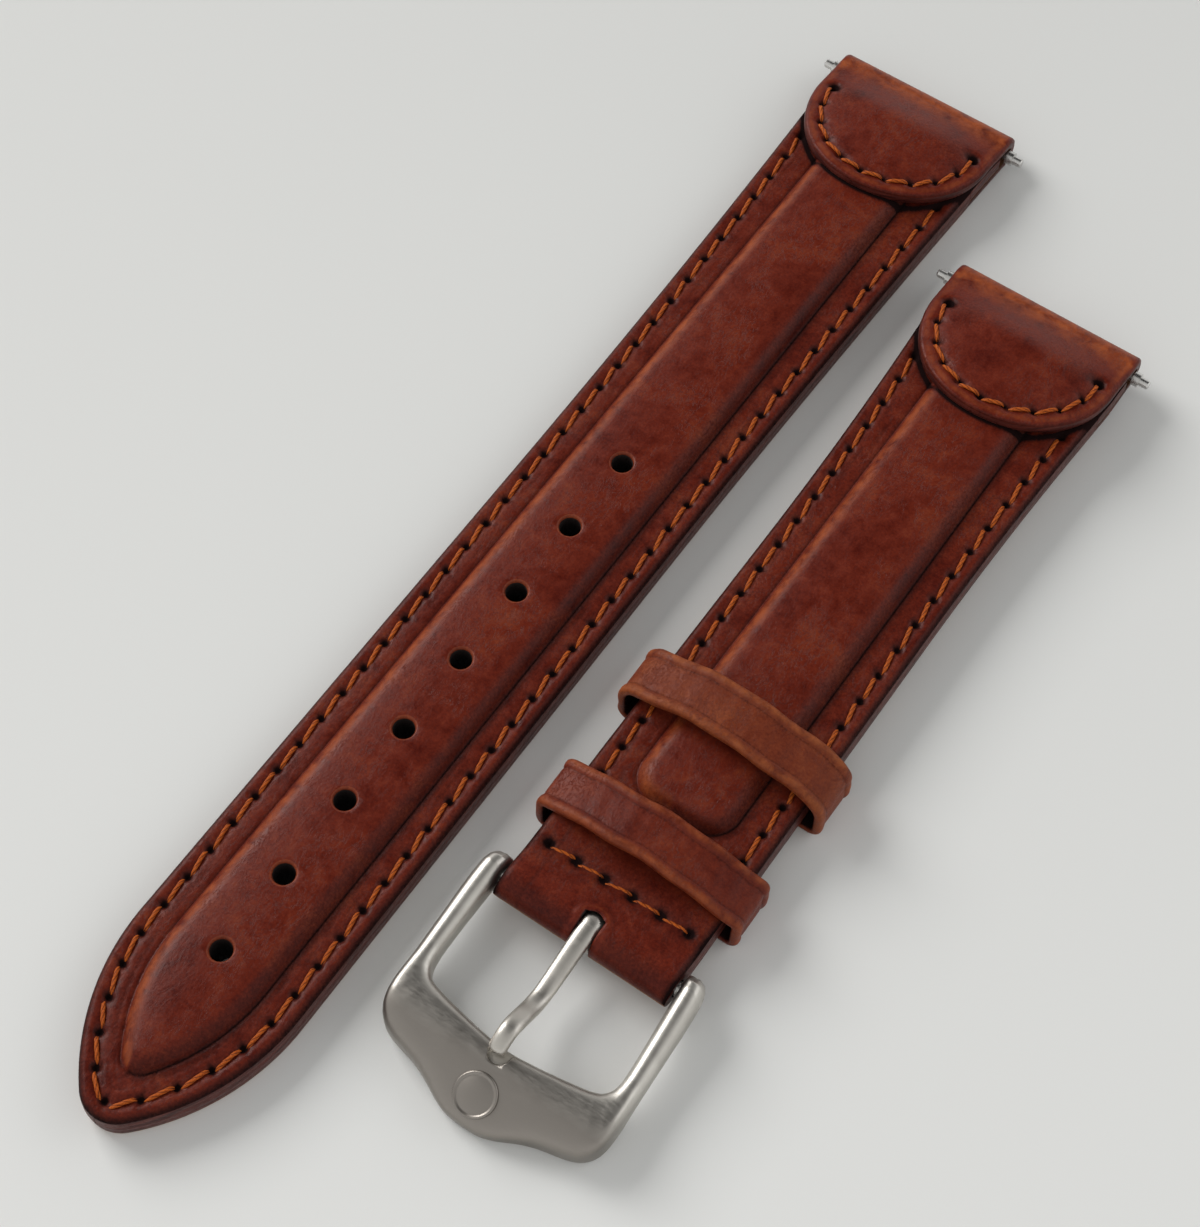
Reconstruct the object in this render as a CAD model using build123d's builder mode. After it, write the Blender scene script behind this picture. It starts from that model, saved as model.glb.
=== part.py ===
from build123d import *
import os
from math import asin, atan2, cos, degrees, radians, sin, sqrt, tan

os.makedirs("parts", exist_ok=True)

# Watch fit and strap widths
lug_width = 18.0
lug_side_play = 0.1
buckle_width = 16.0
short_side_play = 0.1
tail_side_play = 0.33

# Lengths along the strap, measured from each lug bar's axis
tail_length = 116.0
tail_taper_length = 54.0
tail_point_length = 14.5
tail_tip_radius = 3.0
short_length = 68.1
short_taper_start = 4.0
short_taper_end = 32.0

# How the two halves lie beside each other
halves_gap = 3.55
half_stagger = 15.4

# Leather thicknesses
lining_thickness = 0.9
stiffener_thickness = 0.8
top_thickness = 1.3
keeper_thickness = 0.8
top_edge_radius = 0.5
lining_edge_radius = 0.35
layer_start = 1.2

# Padding ridge
pad_foot_half_width = 4.45
pad_rise = 1.25
pad_shoulder_radius = 1.0
pad_skin = 1.05
pad_start = 5.0
pad_corner_radius = 2.6
tail_pad_margin = 4.1
tail_pad_tip_radius = 1.5
short_pad_margin = 10.9

# Turned leather tab at the lug end
tab_centre = 3.95
tab_ramp_length = 2.6
tab_rise_length = 5.0
tab_under_length = 6.0
butt_gap = 0.05

# Spring bars
bar_tube_radius = 0.75
bar_bore_radius = 0.53
bar_loop_play = 0.03
bar_slide_play = 0.03
bar_tip_radius = 0.4
bar_collar_radius = 0.62
bar_collar_length = 0.6
bar_tip_length = 0.9
bar_tip_travel = 1.2
bar_lip_length = 0.5
bar_head_length = 3.2
bar_end_play = 0.1
bar_chamfer = 0.1
bar_lip_play = 0.05
spring_wire_radius = 0.11
spring_turns = 12
spring_end_gap = 0.05

# Adjustment holes
hole_count = 8
hole_radius = 0.9
last_hole_margin = 15.0
hole_pitch = 7.5

# Sewing thread
seam_inset = 1.35
thread_width = 0.55
thread_height = 0.3
thread_edge_radius = 0.13
stitch_pitch = 2.74
stitch_thread_share = 0.68
side_seam_start = 9.6
tab_stitch_count = 10
cross_seam_margin = 3.7
cross_stitch_count = 5
cross_seam_half_length = 6.45
channel_width = 0.9
channel_depth = 0.35

# Buckle loop of the short half
loop_return_length = 6.4
loop_ramp_length = 2.1
slot_play = 0.25
slot_back = 1.8

# Keepers
keeper_corner_radius = 1.2
keeper_crown_angle = 23
keeper_edge_radius = 0.2
keeper_play = 0.06
sliding_keeper_half_width = 9.65
sliding_keeper_side_height = 3.3
sliding_keeper_height = 7.1
keeper_gap = 6.85
sliding_keeper_length = 4.75
fixed_keeper_half_width = 9.45
fixed_keeper_side_height = 3.4
fixed_keeper_height = 6.25
fixed_keeper_margin = 10.4
fixed_keeper_length = 4.6

# Buckle frame
ear_radius = 1.5
ear_thickness = 1.75
ear_side_play = 0.2
rail_splay = 0.4
rail_mid_reach = 7.0
frame_corner_margin = 3.4
frame_point_reach = 17.3
frame_corner_radius = 1.8
frame_point_radius = 8.0
window_corner_radius = 1.6
window_margin = 5.4
window_point = 0.6
frame_height = 3.75
frame_crest_margin = 4.9
frame_slope_margin = 2.3
frame_slope_height = 2.9
frame_nose_height = 1.6
frame_foot_margin = 3.7
rail_top_height = 3.4
rail_bottom_height = 1.15
frame_edge_radius = 0.45
notch_width = 2.2
notch_length = 1.3
notch_floor = 3.1
disc_radius = 1.75
disc_thickness = 0.6
disc_margin = 1.9
disc_top = 2.85

# Buckle tongue
tongue_width = 1.7
tongue_thickness = 1.05
tongue_ring_play = 0.1
tongue_margin = 4.4
tongue_crest = 4.75
tongue_crest_margin = 6.7
tongue_dip = 2.6
tongue_dip_reach = 6.6
tongue_seat_gap = 0.03
ear_hole_play = 0.05

cut_overrun = 2.0

# Worked out from the sizes above
leather_half = lug_width / 2 - lug_side_play
short_half = buckle_width / 2 - short_side_play
tail_half = buckle_width / 2 - tail_side_play
stiffener_base = lining_thickness
top_base = stiffener_base + stiffener_thickness
flange_top = top_base + top_thickness
pad_crown = flange_top + pad_rise
loop_bore_radius = bar_tube_radius + bar_loop_play
loop_radius = loop_bore_radius + lining_thickness
bar_height = loop_radius
fold_top = 2 * loop_radius
tab_radius = leather_half - lug_side_play
tab_edge_top = flange_top + lining_thickness
tab_crown = pad_crown + lining_thickness
tab_dome_radius = (tab_radius**2 + (tab_crown - tab_edge_top)**2) / (2 * (tab_crown - tab_edge_top))
short_lift = keeper_thickness + keeper_play
half_pitch = 2 * leather_half + halves_gap
tail_shoulder = tail_length - tail_point_length
tail_pad_tip = tail_length - tail_pad_margin
first_hole = tail_length - last_hole_margin - (hole_count - 1) * hole_pitch
short_pad_end = short_length - short_pad_margin
cross_seam_place = short_length - cross_seam_margin
fixed_keeper_start = short_length - fixed_keeper_margin
sliding_keeper_start = fixed_keeper_start - keeper_gap - sliding_keeper_length
frame_corner_reach = frame_point_reach - frame_corner_margin
window_reach = frame_point_reach - window_margin
frame_crest_reach = frame_point_reach - frame_crest_margin
frame_slope_reach = frame_point_reach - frame_slope_margin
frame_foot_reach = frame_point_reach - frame_foot_margin
disc_reach = frame_point_reach - disc_margin
tongue_reach = frame_point_reach - tongue_margin
tongue_crest_reach = frame_point_reach - tongue_crest_margin

# The origin lies on the table under the middle of the two halves
tail_centre = -half_pitch / 2
short_centre = half_pitch / 2
tail_bar = (tail_length - loop_radius) / 2
short_bar = tail_bar - half_stagger
tail_plane = Plane(origin=(tail_centre, tail_bar, 0))
short_plane = Plane(origin=(short_centre, short_bar, short_lift))


def side_plane(base, along=0, height=0):
    """Upright plane through the strap's middle: x runs to the strap's end, y upwards."""
    origin = base.origin + Vector(0, -along, height)
    return Plane(origin=origin, x_dir=(0, -1, 0), z_dir=(-1, 0, 0))


def cross_plane(base, along=0, height=0):
    """Upright plane across the strap: x runs across it, y upwards, normal to the strap's end."""
    origin = base.origin + Vector(0, -along, height)
    return Plane(origin=origin, x_dir=(1, 0, 0), z_dir=(0, -1, 0))


def side_arc_radius(half_width, shoulder, tip, tip_radius):
    """Radius of the arcs that join straight sides to a rounded tip, tangent to both."""
    run = tip - tip_radius - shoulder
    return (half_width**2 + run**2 - tip_radius**2) / (2 * (half_width - tip_radius))


def tip_join(half_width, shoulder, tip, tip_radius):
    """Point where the side arc meets the tip's rounding, on the right-hand side."""
    arc_radius = side_arc_radius(half_width, shoulder, tip, tip_radius)
    run = tip - tip_radius - shoulder
    share = tip_radius / (arc_radius - tip_radius)
    return (share * (arc_radius - half_width), -(tip - tip_radius + share * run))


def tail_side(inset, start):
    """Right-hand edge lines of the tail half, from the given start round to the tip."""
    half_width = tail_half - inset
    tip = tail_length - inset
    tip_radius = tail_tip_radius - inset
    join = tip_join(half_width, tail_shoulder, tip, tip_radius)
    widening = leather_half - tail_half
    taper_radius = (tail_taper_length**2 + widening**2) / (2 * widening)
    run = tail_taper_length - start
    depth = sqrt(taper_radius**2 - run**2)
    taper_start = (half_width + taper_radius - depth, -start)
    taper = TangentArc(taper_start, (half_width, -tail_taper_length), tangent=(-run, -depth))
    straight = Line((half_width, -tail_taper_length), (half_width, -tail_shoulder))
    shoulder = TangentArc((half_width, -tail_shoulder), join, tangent=(0, -1))
    nose = TangentArc(join, (0, -tip), tangent=shoulder % 1)
    return [taper, straight, shoulder, nose]


def short_side(inset, start, end):
    """Right-hand edge lines of the short half between two places along it."""
    half_width = short_half - inset
    widening = leather_half - short_half
    taper_run = short_taper_end - short_taper_start
    taper_radius = (taper_run**2 + widening**2) / (2 * widening)
    run = short_taper_end - max(start, short_taper_start)
    depth = sqrt(taper_radius**2 - run**2)
    taper_half = half_width + taper_radius - depth
    taper_start = (taper_half, -max(start, short_taper_start))
    lines = []
    if start < short_taper_start:
        lines.append(Line((taper_half, -start), taper_start))
    lines.append(TangentArc(taper_start, (half_width, -short_taper_end), tangent=(-run, -depth)))
    lines.append(Line((half_width, -short_taper_end), (half_width, -end)))
    return lines


def tail_outline(plane, inset=0, start=0):
    """Flat outline of the tail half, moved in from the edge by the inset."""
    with BuildSketch(plane) as outline:
        with BuildLine():
            lines = tail_side(inset, start)
            mirror(lines, about=Plane.YZ)
            lug_end = lines[0] @ 0
            Line(lug_end, (-lug_end.X, lug_end.Y))
        make_face()
    return outline.sketch


def short_outline(plane, inset=0, start=0, end=short_length):
    """Flat outline of the short half, moved in from the edge by the inset."""
    with BuildSketch(plane) as outline:
        with BuildLine():
            lines = short_side(inset, start, end)
            mirror(lines, about=Plane.YZ)
            lug_end = lines[0] @ 0
            buckle_end = lines[-1] @ 1
            Line(lug_end, (-lug_end.X, lug_end.Y))
            Line(buckle_end, (-buckle_end.X, buckle_end.Y))
        make_face()
    return outline.sketch


def tail_pad_outline(plane, inset=0):
    """Outline of the tail half's padding ridge."""
    half_width = pad_foot_half_width - inset
    tip = tail_pad_tip - inset
    tip_radius = tail_pad_tip_radius
    join = tip_join(half_width, tail_shoulder, tip, tip_radius)
    corner = pad_corner_radius - inset
    with BuildSketch(plane) as outline:
        with BuildLine():
            side = Line((half_width, -pad_start - inset - corner), (half_width, -tail_shoulder))
            shoulder = TangentArc((half_width, -tail_shoulder), join, tangent=(0, -1))
            nose = TangentArc(join, (0, -tip), tangent=shoulder % 1)
            turn = TangentArc(side @ 0, (half_width - corner, -pad_start - inset), tangent=(0, 1))
            mirror([side, shoulder, nose, turn], about=Plane.YZ)
            Line(turn @ 1, (corner - half_width, -pad_start - inset))
        make_face()
    return outline.sketch


def short_pad_outline(plane, inset=0):
    """Outline of the short half's padding ridge."""
    length = short_pad_end - pad_start - 2 * inset
    with BuildSketch(plane) as outline:
        with Locations((0, -(pad_start + short_pad_end) / 2)):
            RectangleRounded(2 * (pad_foot_half_width - inset), length, pad_corner_radius - inset)
    return outline.sketch


def padding(plane, pad_outline, name):
    """Filler that lifts the middle of the top leather."""
    with BuildPart() as pad:
        add(pad_outline(plane.offset(top_base), pad_skin))
        extrude(amount=pad_crown - top_thickness - top_base)
        fillet(pad.edges().group_by(Axis.Z)[-1], radius=pad_shoulder_radius / 2)
    pad.part.label = name
    return pad.part


def top_plate(plane, outline, ridge_outline, pad):
    """Top leather with its edge rounded, its ridge, and the pad's room underneath."""
    with BuildPart() as plate:
        add(outline)
        extrude(amount=top_thickness)
        sides = plate.edges().group_by(Axis.Z)[-1].filter_by(Axis.X, reverse=True)
        fillet(sides, radius=top_edge_radius)
    with BuildPart() as ridge:
        add(ridge_outline(plane.offset(top_base)))
        extrude(amount=pad_crown - top_base)
        fillet(ridge.edges().group_by(Axis.Z)[-1], radius=pad_shoulder_radius)
    with BuildPart() as leather:
        add(plate.part)
        add(ridge.part)
        add(pad, mode=Mode.SUBTRACT)
        with BuildSketch(side_plane(plane)):
            with BuildLine():
                Polyline((0, fold_top - lining_thickness), (tab_ramp_length, flange_top),
                         (tab_ramp_length, flange_top + cut_overrun),
                         (0, flange_top + cut_overrun), close=True)
            make_face()
        extrude(amount=lug_width, both=True, mode=Mode.SUBTRACT)
    return leather.part


def lug_tab(plane, outline, ridge_outline, name):
    """Leather turned round the spring bar, with a domed half-round flap on top and a leg below."""
    with BuildPart() as ridge:
        add(ridge_outline(plane.offset(flange_top)))
        extrude(amount=pad_rise)
        fillet(ridge.edges().group_by(Axis.Z)[-1], radius=pad_shoulder_radius)
    with BuildPart() as flap:
        with BuildSketch(side_plane(plane)):
            Polygon((0, fold_top - lining_thickness), (tab_ramp_length, flange_top),
                    (tab_centre + tab_radius, flange_top), (tab_centre + tab_radius, tab_crown),
                    (tab_rise_length, tab_crown), (0, fold_top), align=None)
        extrude(amount=leather_half, both=True)
        with BuildSketch(plane):
            with Locations((0, -tab_centre)):
                Circle(tab_radius)
            with Locations((0, -tab_centre / 2)):
                Rectangle(2 * leather_half, tab_centre)
        extrude(amount=tab_crown, mode=Mode.INTERSECT)
        with BuildSketch(cross_plane(plane)):
            with Locations((0, tab_crown - tab_dome_radius)):
                Circle(tab_dome_radius)
        extrude(amount=tab_centre + tab_radius, mode=Mode.INTERSECT)
        add(ridge.part, mode=Mode.SUBTRACT)
    with BuildPart() as loop:
        with BuildSketch(side_plane(plane)):
            with BuildLine():
                leg = Polyline((0, 0), (tab_under_length, 0), (tab_under_length, lining_thickness),
                               (0, lining_thickness))
                bore = ThreePointArc(leg @ 1, (-loop_bore_radius, bar_height),
                                     (0, fold_top - lining_thickness))
                wall = Line(bore @ 1, (0, fold_top))
                ThreePointArc(wall @ 1, (-loop_radius, bar_height), leg @ 0)
            make_face()
        extrude(amount=leather_half, both=True)
        add(outline)
        extrude(amount=fold_top, mode=Mode.INTERSECT)
    with BuildPart() as tab:
        add(loop.part)
        add(flap.part)
    tab.part.label = name
    return tab.part


def lining(plane, outline, channels, name):
    """Lower leather with a rounded edge and a shallow channel for the lower stitches."""
    with BuildPart() as leather:
        add(outline)
        extrude(amount=lining_thickness)
        sides = leather.edges().group_by(Axis.Z)[0].filter_by(Axis.X, reverse=True)
        fillet(sides, radius=lining_edge_radius)
        for channel in channels:
            add(channel)
            extrude(amount=channel_depth, mode=Mode.SUBTRACT)
    leather.part.label = name
    return leather.part


def seam_places(lines, pitch):
    """Middle and heading of each stitch along a chain of lines, evenly spread."""
    length = sum(line.length for line in lines)
    count = max(2, round(length / pitch))
    step = length / count
    places = []
    for index in range(count):
        reach = (index + 1 / 2) * step
        for line in lines:
            if reach <= line.length:
                break
            reach -= line.length
        spot = line.position_at(reach / line.length)
        heading = line.tangent_at(reach / line.length)
        places.append((spot.X, spot.Y, degrees(atan2(heading.Y, heading.X))))
    return places


def mirrored(places):
    """The same stitches on the strap's left-hand side."""
    return [(-across, along, 180 - turn) for across, along, turn in places]


def flat_spots(plane, places):
    """Where the stitches of a seam lie on a flat face."""
    return [plane.location * Location((x, y, 0), (0, 0, turn)) for x, y, turn in places]


def tab_spots(plane, places):
    """Where the stitches of a tab seam lie on the tab's domed face."""
    spots = []
    for x, y, turn in places:
        lean = asin(x / tab_dome_radius)
        height = tab_crown - tab_dome_radius * (1 - cos(lean))
        heading = Vector(cos(radians(turn)), sin(radians(turn)), 0)
        rest = Plane(origin=plane.origin + Vector(x, y, height), x_dir=heading,
                     z_dir=(sin(lean), 0, cos(lean)))
        spots.append(rest.location)
    return spots


def seam(spots, pitch, name):
    """The stitches of one seam, as separate short solids."""
    with BuildPart() as stitch:
        with BuildSketch():
            SlotOverall(pitch * stitch_thread_share, thread_width)
        extrude(amount=thread_height)
        fillet(stitch.edges().group_by(Axis.Z)[-1], radius=thread_edge_radius)
    with BuildPart() as thread:
        with Locations(spots):
            add(stitch.part)
    thread.part.label = name
    return thread.part


def underside(plane, height):
    """Plane that looks down, so that what is placed on it hangs below that height."""
    return Plane(origin=plane.origin + Vector(0, 0, height), x_dir=(-1, 0, 0), z_dir=(0, 0, -1))


def bar_tube(base, along, tube_half, name):
    """Spring bar tube, drilled through, with its ends crimped to a smaller opening."""
    with BuildPart() as tube:
        with BuildSketch(cross_plane(base, along, bar_height)):
            Polygon((-tube_half, bar_tip_radius + bar_slide_play), (-tube_half, bar_tube_radius),
                    (tube_half, bar_tube_radius), (tube_half, bar_tip_radius + bar_slide_play),
                    (tube_half - bar_lip_length, bar_tip_radius + bar_slide_play),
                    (tube_half - bar_lip_length, bar_bore_radius),
                    (bar_lip_length - tube_half, bar_bore_radius),
                    (bar_lip_length - tube_half, bar_tip_radius + bar_slide_play), align=None)
        revolve(axis=Axis(base.origin + Vector(0, -along, bar_height), (1, 0, 0)))
    tube.part.label = name
    return tube.part


def bar_tip(base, along, collar_face, side, name):
    """Sliding tip of a spring bar: a captive head, a neck, a collar and the pin."""
    tube_half = collar_face - bar_collar_length - bar_tip_travel - bar_end_play
    head_face = tube_half - bar_lip_length - bar_end_play
    head_radius = bar_bore_radius - bar_slide_play
    collar_base = collar_face - bar_collar_length
    pin_end = collar_face + bar_tip_length
    profile = [(head_face - bar_head_length, 0), (head_face - bar_head_length, head_radius),
               (head_face, head_radius), (head_face, bar_tip_radius),
               (collar_base, bar_tip_radius), (collar_base, bar_collar_radius),
               (collar_face, bar_collar_radius), (collar_face, bar_tip_radius),
               (pin_end - bar_chamfer, bar_tip_radius), (pin_end, bar_tip_radius - bar_chamfer),
               (pin_end, 0)]
    with BuildPart() as tip:
        with BuildSketch(cross_plane(base, along, bar_height)):
            Polygon([(side * reach, radius) for reach, radius in profile], align=None)
        revolve(axis=Axis(base.origin + Vector(0, -along, bar_height), (1, 0, 0)))
    tip.part.label = name
    return tip.part


def bar_spring(base, along, collar_face, name):
    """Coil that pushes both tips of a spring bar outwards."""
    tube_half = collar_face - bar_collar_length - bar_tip_travel - bar_end_play
    reach = tube_half - bar_lip_length - bar_end_play - bar_head_length - spring_end_gap
    start = base.origin + Vector(spring_wire_radius - reach, -along, bar_height)
    length = 2 * (reach - spring_wire_radius)
    coil_radius = bar_bore_radius - bar_slide_play - spring_wire_radius
    with BuildPart() as spring:
        with BuildLine():
            coil = Helix(pitch=length / spring_turns, height=length, radius=coil_radius,
                         center=start, direction=(1, 0, 0))
        with BuildSketch(Plane(origin=coil @ 0, z_dir=coil % 0)):
            Circle(spring_wire_radius)
        sweep()
    spring.part.label = name
    return spring.part


def spring_bar(base, along, collar_face, prefix):
    """One spring bar in four pieces, written out under its prefix."""
    tube_half = collar_face - bar_collar_length - bar_tip_travel - bar_end_play
    pieces = [bar_tube(base, along, tube_half, f"{prefix}_bar_tube"),
              bar_spring(base, along, collar_face, f"{prefix}_bar_spring"),
              bar_tip(base, along, collar_face, -1, f"{prefix}_bar_tip_left"),
              bar_tip(base, along, collar_face, 1, f"{prefix}_bar_tip_right")]
    for piece in pieces:
        export_step(piece, f"parts/{piece.label}.step")


def keeper_side(half_width, side_height, height, inset):
    """Right-hand half of a keeper's arch: a shoulder arc and a flatter crown arc."""
    bend = radians(keeper_crown_angle)
    crown_share = tan(bend / 2)
    radius = (height - side_height - crown_share * half_width) / (
        cos(bend) - crown_share * (1 - sin(bend)))
    reach = radius - inset
    shoulder = (half_width - radius + reach * sin(bend), side_height + reach * cos(bend))
    wall = Line((half_width - inset, keeper_corner_radius), (half_width - inset, side_height))
    turn = TangentArc(wall @ 1, shoulder, tangent=(0, 1))
    crown = TangentArc(shoulder, (0, height - inset), tangent=(-cos(bend), sin(bend)))
    foot = TangentArc(wall @ 0, (half_width - keeper_corner_radius, inset), tangent=(0, -1))
    return [wall, turn, crown, foot]


def keeper(start, length, half_width, side_height, height, foot_height, name):
    """Leather ring round the strap, with an arched top and rounded edges."""
    with BuildPart() as ring:
        with BuildSketch(cross_plane(short_plane, start, foot_height - short_lift)):
            for inset, mode in ((0, Mode.ADD), (keeper_thickness, Mode.SUBTRACT)):
                with BuildLine():
                    lines = keeper_side(half_width, side_height - foot_height, height - foot_height, inset)
                    mirror(lines, about=Plane.YZ)
                    corner = lines[-1] @ 1
                    Line(corner, (-corner.X, corner.Y))
                make_face(mode=mode)
        extrude(amount=length)
        fillet(ring.edges().group_by(Axis.Y)[0] + ring.edges().group_by(Axis.Y)[-1],
               radius=keeper_edge_radius)
    ring.part.label = name
    return ring.part


# Padding and stiffener of both halves
tail_padding = padding(tail_plane, tail_pad_outline, "tail_padding")
short_padding = padding(short_plane, short_pad_outline, "short_padding")
export_step(short_padding, "parts/short_padding.step")

hole_spots = [(0, -(first_hole + index * hole_pitch)) for index in range(hole_count)]


with BuildPart() as hole_cores:
    with BuildSketch(tail_plane.offset(-cut_overrun)):
        with Locations(hole_spots):
            Circle(hole_radius)
    extrude(amount=pad_crown + 2 * cut_overrun)

with BuildPart() as tail_top_leather:
    add(top_plate(tail_plane, tail_outline(tail_plane.offset(top_base), 0, layer_start),
                  tail_pad_outline, tail_padding))
    add(hole_cores.part, mode=Mode.SUBTRACT)
tail_top_leather.part.label = "tail_top_leather"
export_step(tail_top_leather.part, "parts/tail_top_leather.step")

with BuildPart() as tail_filler:
    add(tail_padding)
    add(hole_cores.part, mode=Mode.SUBTRACT)
tail_filler.part.label = "tail_padding"
export_step(tail_filler.part, "parts/tail_padding.step")

with BuildPart() as tail_stiffener:
    add(tail_outline(tail_plane.offset(stiffener_base), 0, layer_start))
    extrude(amount=stiffener_thickness)
    add(hole_cores.part, mode=Mode.SUBTRACT)
tail_stiffener.part.label = "tail_stiffener"
export_step(tail_stiffener.part, "parts/tail_stiffener.step")

with BuildSketch(tail_plane) as tail_channel:
    add(tail_outline(Plane.XY, seam_inset - channel_width / 2, side_seam_start))
    add(tail_outline(Plane.XY, seam_inset + channel_width / 2, side_seam_start),
        mode=Mode.SUBTRACT)

lining_start = tab_under_length + butt_gap
with BuildPart() as tail_lining:
    add(lining(tail_plane, tail_outline(tail_plane, 0, lining_start), [tail_channel.sketch],
               "tail_lining"))
    add(hole_cores.part, mode=Mode.SUBTRACT)
tail_lining.part.label = "tail_lining"
export_step(tail_lining.part, "parts/tail_lining.step")

tail_lug_tab = lug_tab(tail_plane, tail_outline(tail_plane, 0, -cut_overrun),
                       tail_pad_outline, "tail_lug_tab")
export_step(tail_lug_tab, "parts/tail_lug_tab.step")

# Short half: its top leather ends in the loop round the buckle's bar
stiffener_end = short_length - loop_ramp_length
return_start = short_length - loop_return_length

with BuildPart() as buckle_loop:
    with BuildSketch(side_plane(short_plane)):
        with BuildLine():
            inner = Polyline((return_start, lining_thickness), (short_length, lining_thickness))
            bore = ThreePointArc(inner @ 1, (short_length + loop_bore_radius, bar_height),
                                 (short_length, fold_top - lining_thickness))
            ramp = Polyline(bore @ 1, (short_length - loop_bore_radius, fold_top - lining_thickness),
                            (stiffener_end, top_base), (stiffener_end, flange_top),
                            (short_length, fold_top))
            nose = ThreePointArc(ramp @ 1, (short_length + loop_radius, bar_height),
                                 (short_length, 0))
            Polyline(nose @ 1, (return_start, 0), inner @ 0)
        make_face()
    extrude(amount=short_half, both=True)
    slot_width = tongue_width + 2 * slot_play
    with BuildSketch(short_plane):
        with Locations((0, slot_width / 2 - short_length - slot_back / 2)):
            SlotOverall(loop_bore_radius + slot_back + slot_width, slot_width, rotation=90)
        with Locations((0, -short_length - loop_radius)):
            Rectangle(slot_width, 2 * loop_radius)
    extrude(amount=fold_top, mode=Mode.SUBTRACT)

with BuildPart() as short_top_leather:
    add(top_plate(short_plane, short_outline(short_plane.offset(top_base), 0, layer_start, stiffener_end),
                  short_pad_outline, short_padding))
    add(buckle_loop.part)
short_top_leather.part.label = "short_top_leather"
export_step(short_top_leather.part, "parts/short_top_leather.step")

with BuildPart() as short_stiffener:
    add(short_outline(short_plane.offset(stiffener_base), 0, layer_start, stiffener_end))
    extrude(amount=stiffener_thickness)
short_stiffener.part.label = "short_stiffener"
export_step(short_stiffener.part, "parts/short_stiffener.step")

side_seam_end = fixed_keeper_start + fixed_keeper_length / 2
with BuildSketch(short_plane) as short_channel:
    add(short_outline(Plane.XY, seam_inset - channel_width / 2, side_seam_start, side_seam_end))
    add(short_outline(Plane.XY, seam_inset + channel_width / 2, side_seam_start, side_seam_end),
        mode=Mode.SUBTRACT)

short_lining = lining(short_plane, short_outline(short_plane, 0, lining_start, return_start - butt_gap),
                      [short_channel.sketch], "short_lining")
export_step(short_lining, "parts/short_lining.step")

short_lug_tab = lug_tab(short_plane, short_outline(short_plane, 0, -cut_overrun),
                        short_pad_outline, "short_lug_tab")
export_step(short_lug_tab, "parts/short_lug_tab.step")

# Seams
tail_places = seam_places(tail_side(seam_inset, side_seam_start), stitch_pitch)
tail_places += mirrored(tail_places)
tail_side_seam = seam(flat_spots(tail_plane.offset(flange_top), tail_places)
                      + flat_spots(underside(tail_plane, channel_depth), tail_places),
                      stitch_pitch, "tail_side_seam")
export_step(tail_side_seam, "parts/tail_side_seam.step")

short_places = seam_places(short_side(seam_inset, side_seam_start, side_seam_end), stitch_pitch)
short_places += mirrored(short_places)
short_side_seam = seam(flat_spots(short_plane.offset(flange_top), short_places)
                       + flat_spots(underside(short_plane, channel_depth), short_places),
                       stitch_pitch, "short_side_seam")
export_step(short_side_seam, "parts/short_side_seam.step")

tab_seam_radius = tab_radius - seam_inset
tab_pitch = radians(180) * tab_seam_radius / tab_stitch_count
tab_places = []
for index in range(tab_stitch_count):
    angle = 180 * (index + 1 / 2) / tab_stitch_count
    tab_places.append((tab_seam_radius * cos(radians(angle)),
                       -tab_centre - tab_seam_radius * sin(radians(angle)), -angle - 90))
tail_tab_seam = seam(tab_spots(tail_plane, tab_places), tab_pitch, "tail_tab_seam")
export_step(tail_tab_seam, "parts/tail_tab_seam.step")
short_tab_seam = seam(tab_spots(short_plane, tab_places), tab_pitch, "short_tab_seam")
export_step(short_tab_seam, "parts/short_tab_seam.step")

cross_pitch = 2 * cross_seam_half_length / cross_stitch_count
cross_places = [((index + 1 / 2) * cross_pitch - cross_seam_half_length, -cross_seam_place, 0)
                for index in range(cross_stitch_count)]
short_cross_seam = seam(flat_spots(short_plane.offset(flange_top), cross_places), cross_pitch,
                        "short_cross_seam")
export_step(short_cross_seam, "parts/short_cross_seam.step")

# Spring bars: one for each lug end, one between the buckle's ears
lug_collar_face = leather_half + lug_side_play + bar_collar_length
spring_bar(tail_plane, 0, lug_collar_face, "tail")
spring_bar(short_plane, 0, lug_collar_face, "short")

ear_inner = short_half + ear_side_play
ear_outer = ear_inner + ear_thickness
spring_bar(short_plane, short_length, ear_inner - bar_lip_play, "buckle")

# Keepers
fixed_keeper = keeper(fixed_keeper_start, fixed_keeper_length, fixed_keeper_half_width,
                      fixed_keeper_side_height, fixed_keeper_height, keeper_play, "fixed_keeper")
export_step(fixed_keeper, "parts/fixed_keeper.step")
sliding_keeper = keeper(sliding_keeper_start, sliding_keeper_length, sliding_keeper_half_width,
                        sliding_keeper_side_height, sliding_keeper_height, 0, "sliding_keeper")
export_step(sliding_keeper, "parts/sliding_keeper.step")

# Buckle frame: two ears, two rails and a wide front bar that comes to a blunt point
axis_height = short_lift + bar_height
frame_back = ear_radius + cut_overrun
frame_plan = Plane(origin=(short_centre, short_bar - short_length, 0))
frame_side = side_plane(short_plane, short_length, -short_lift)


def frame_line(ear_half, corner_reach, point_reach, corner_radius):
    """Bent line from one ear round the front to the other ear."""
    corner_half = ear_half + rail_splay
    return FilletPolyline((-ear_half, frame_back), (-corner_half, -corner_reach), (0, -point_reach),
                          (corner_half, -corner_reach), (ear_half, frame_back),
                          radius=[corner_radius, frame_point_radius, corner_radius])


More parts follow.
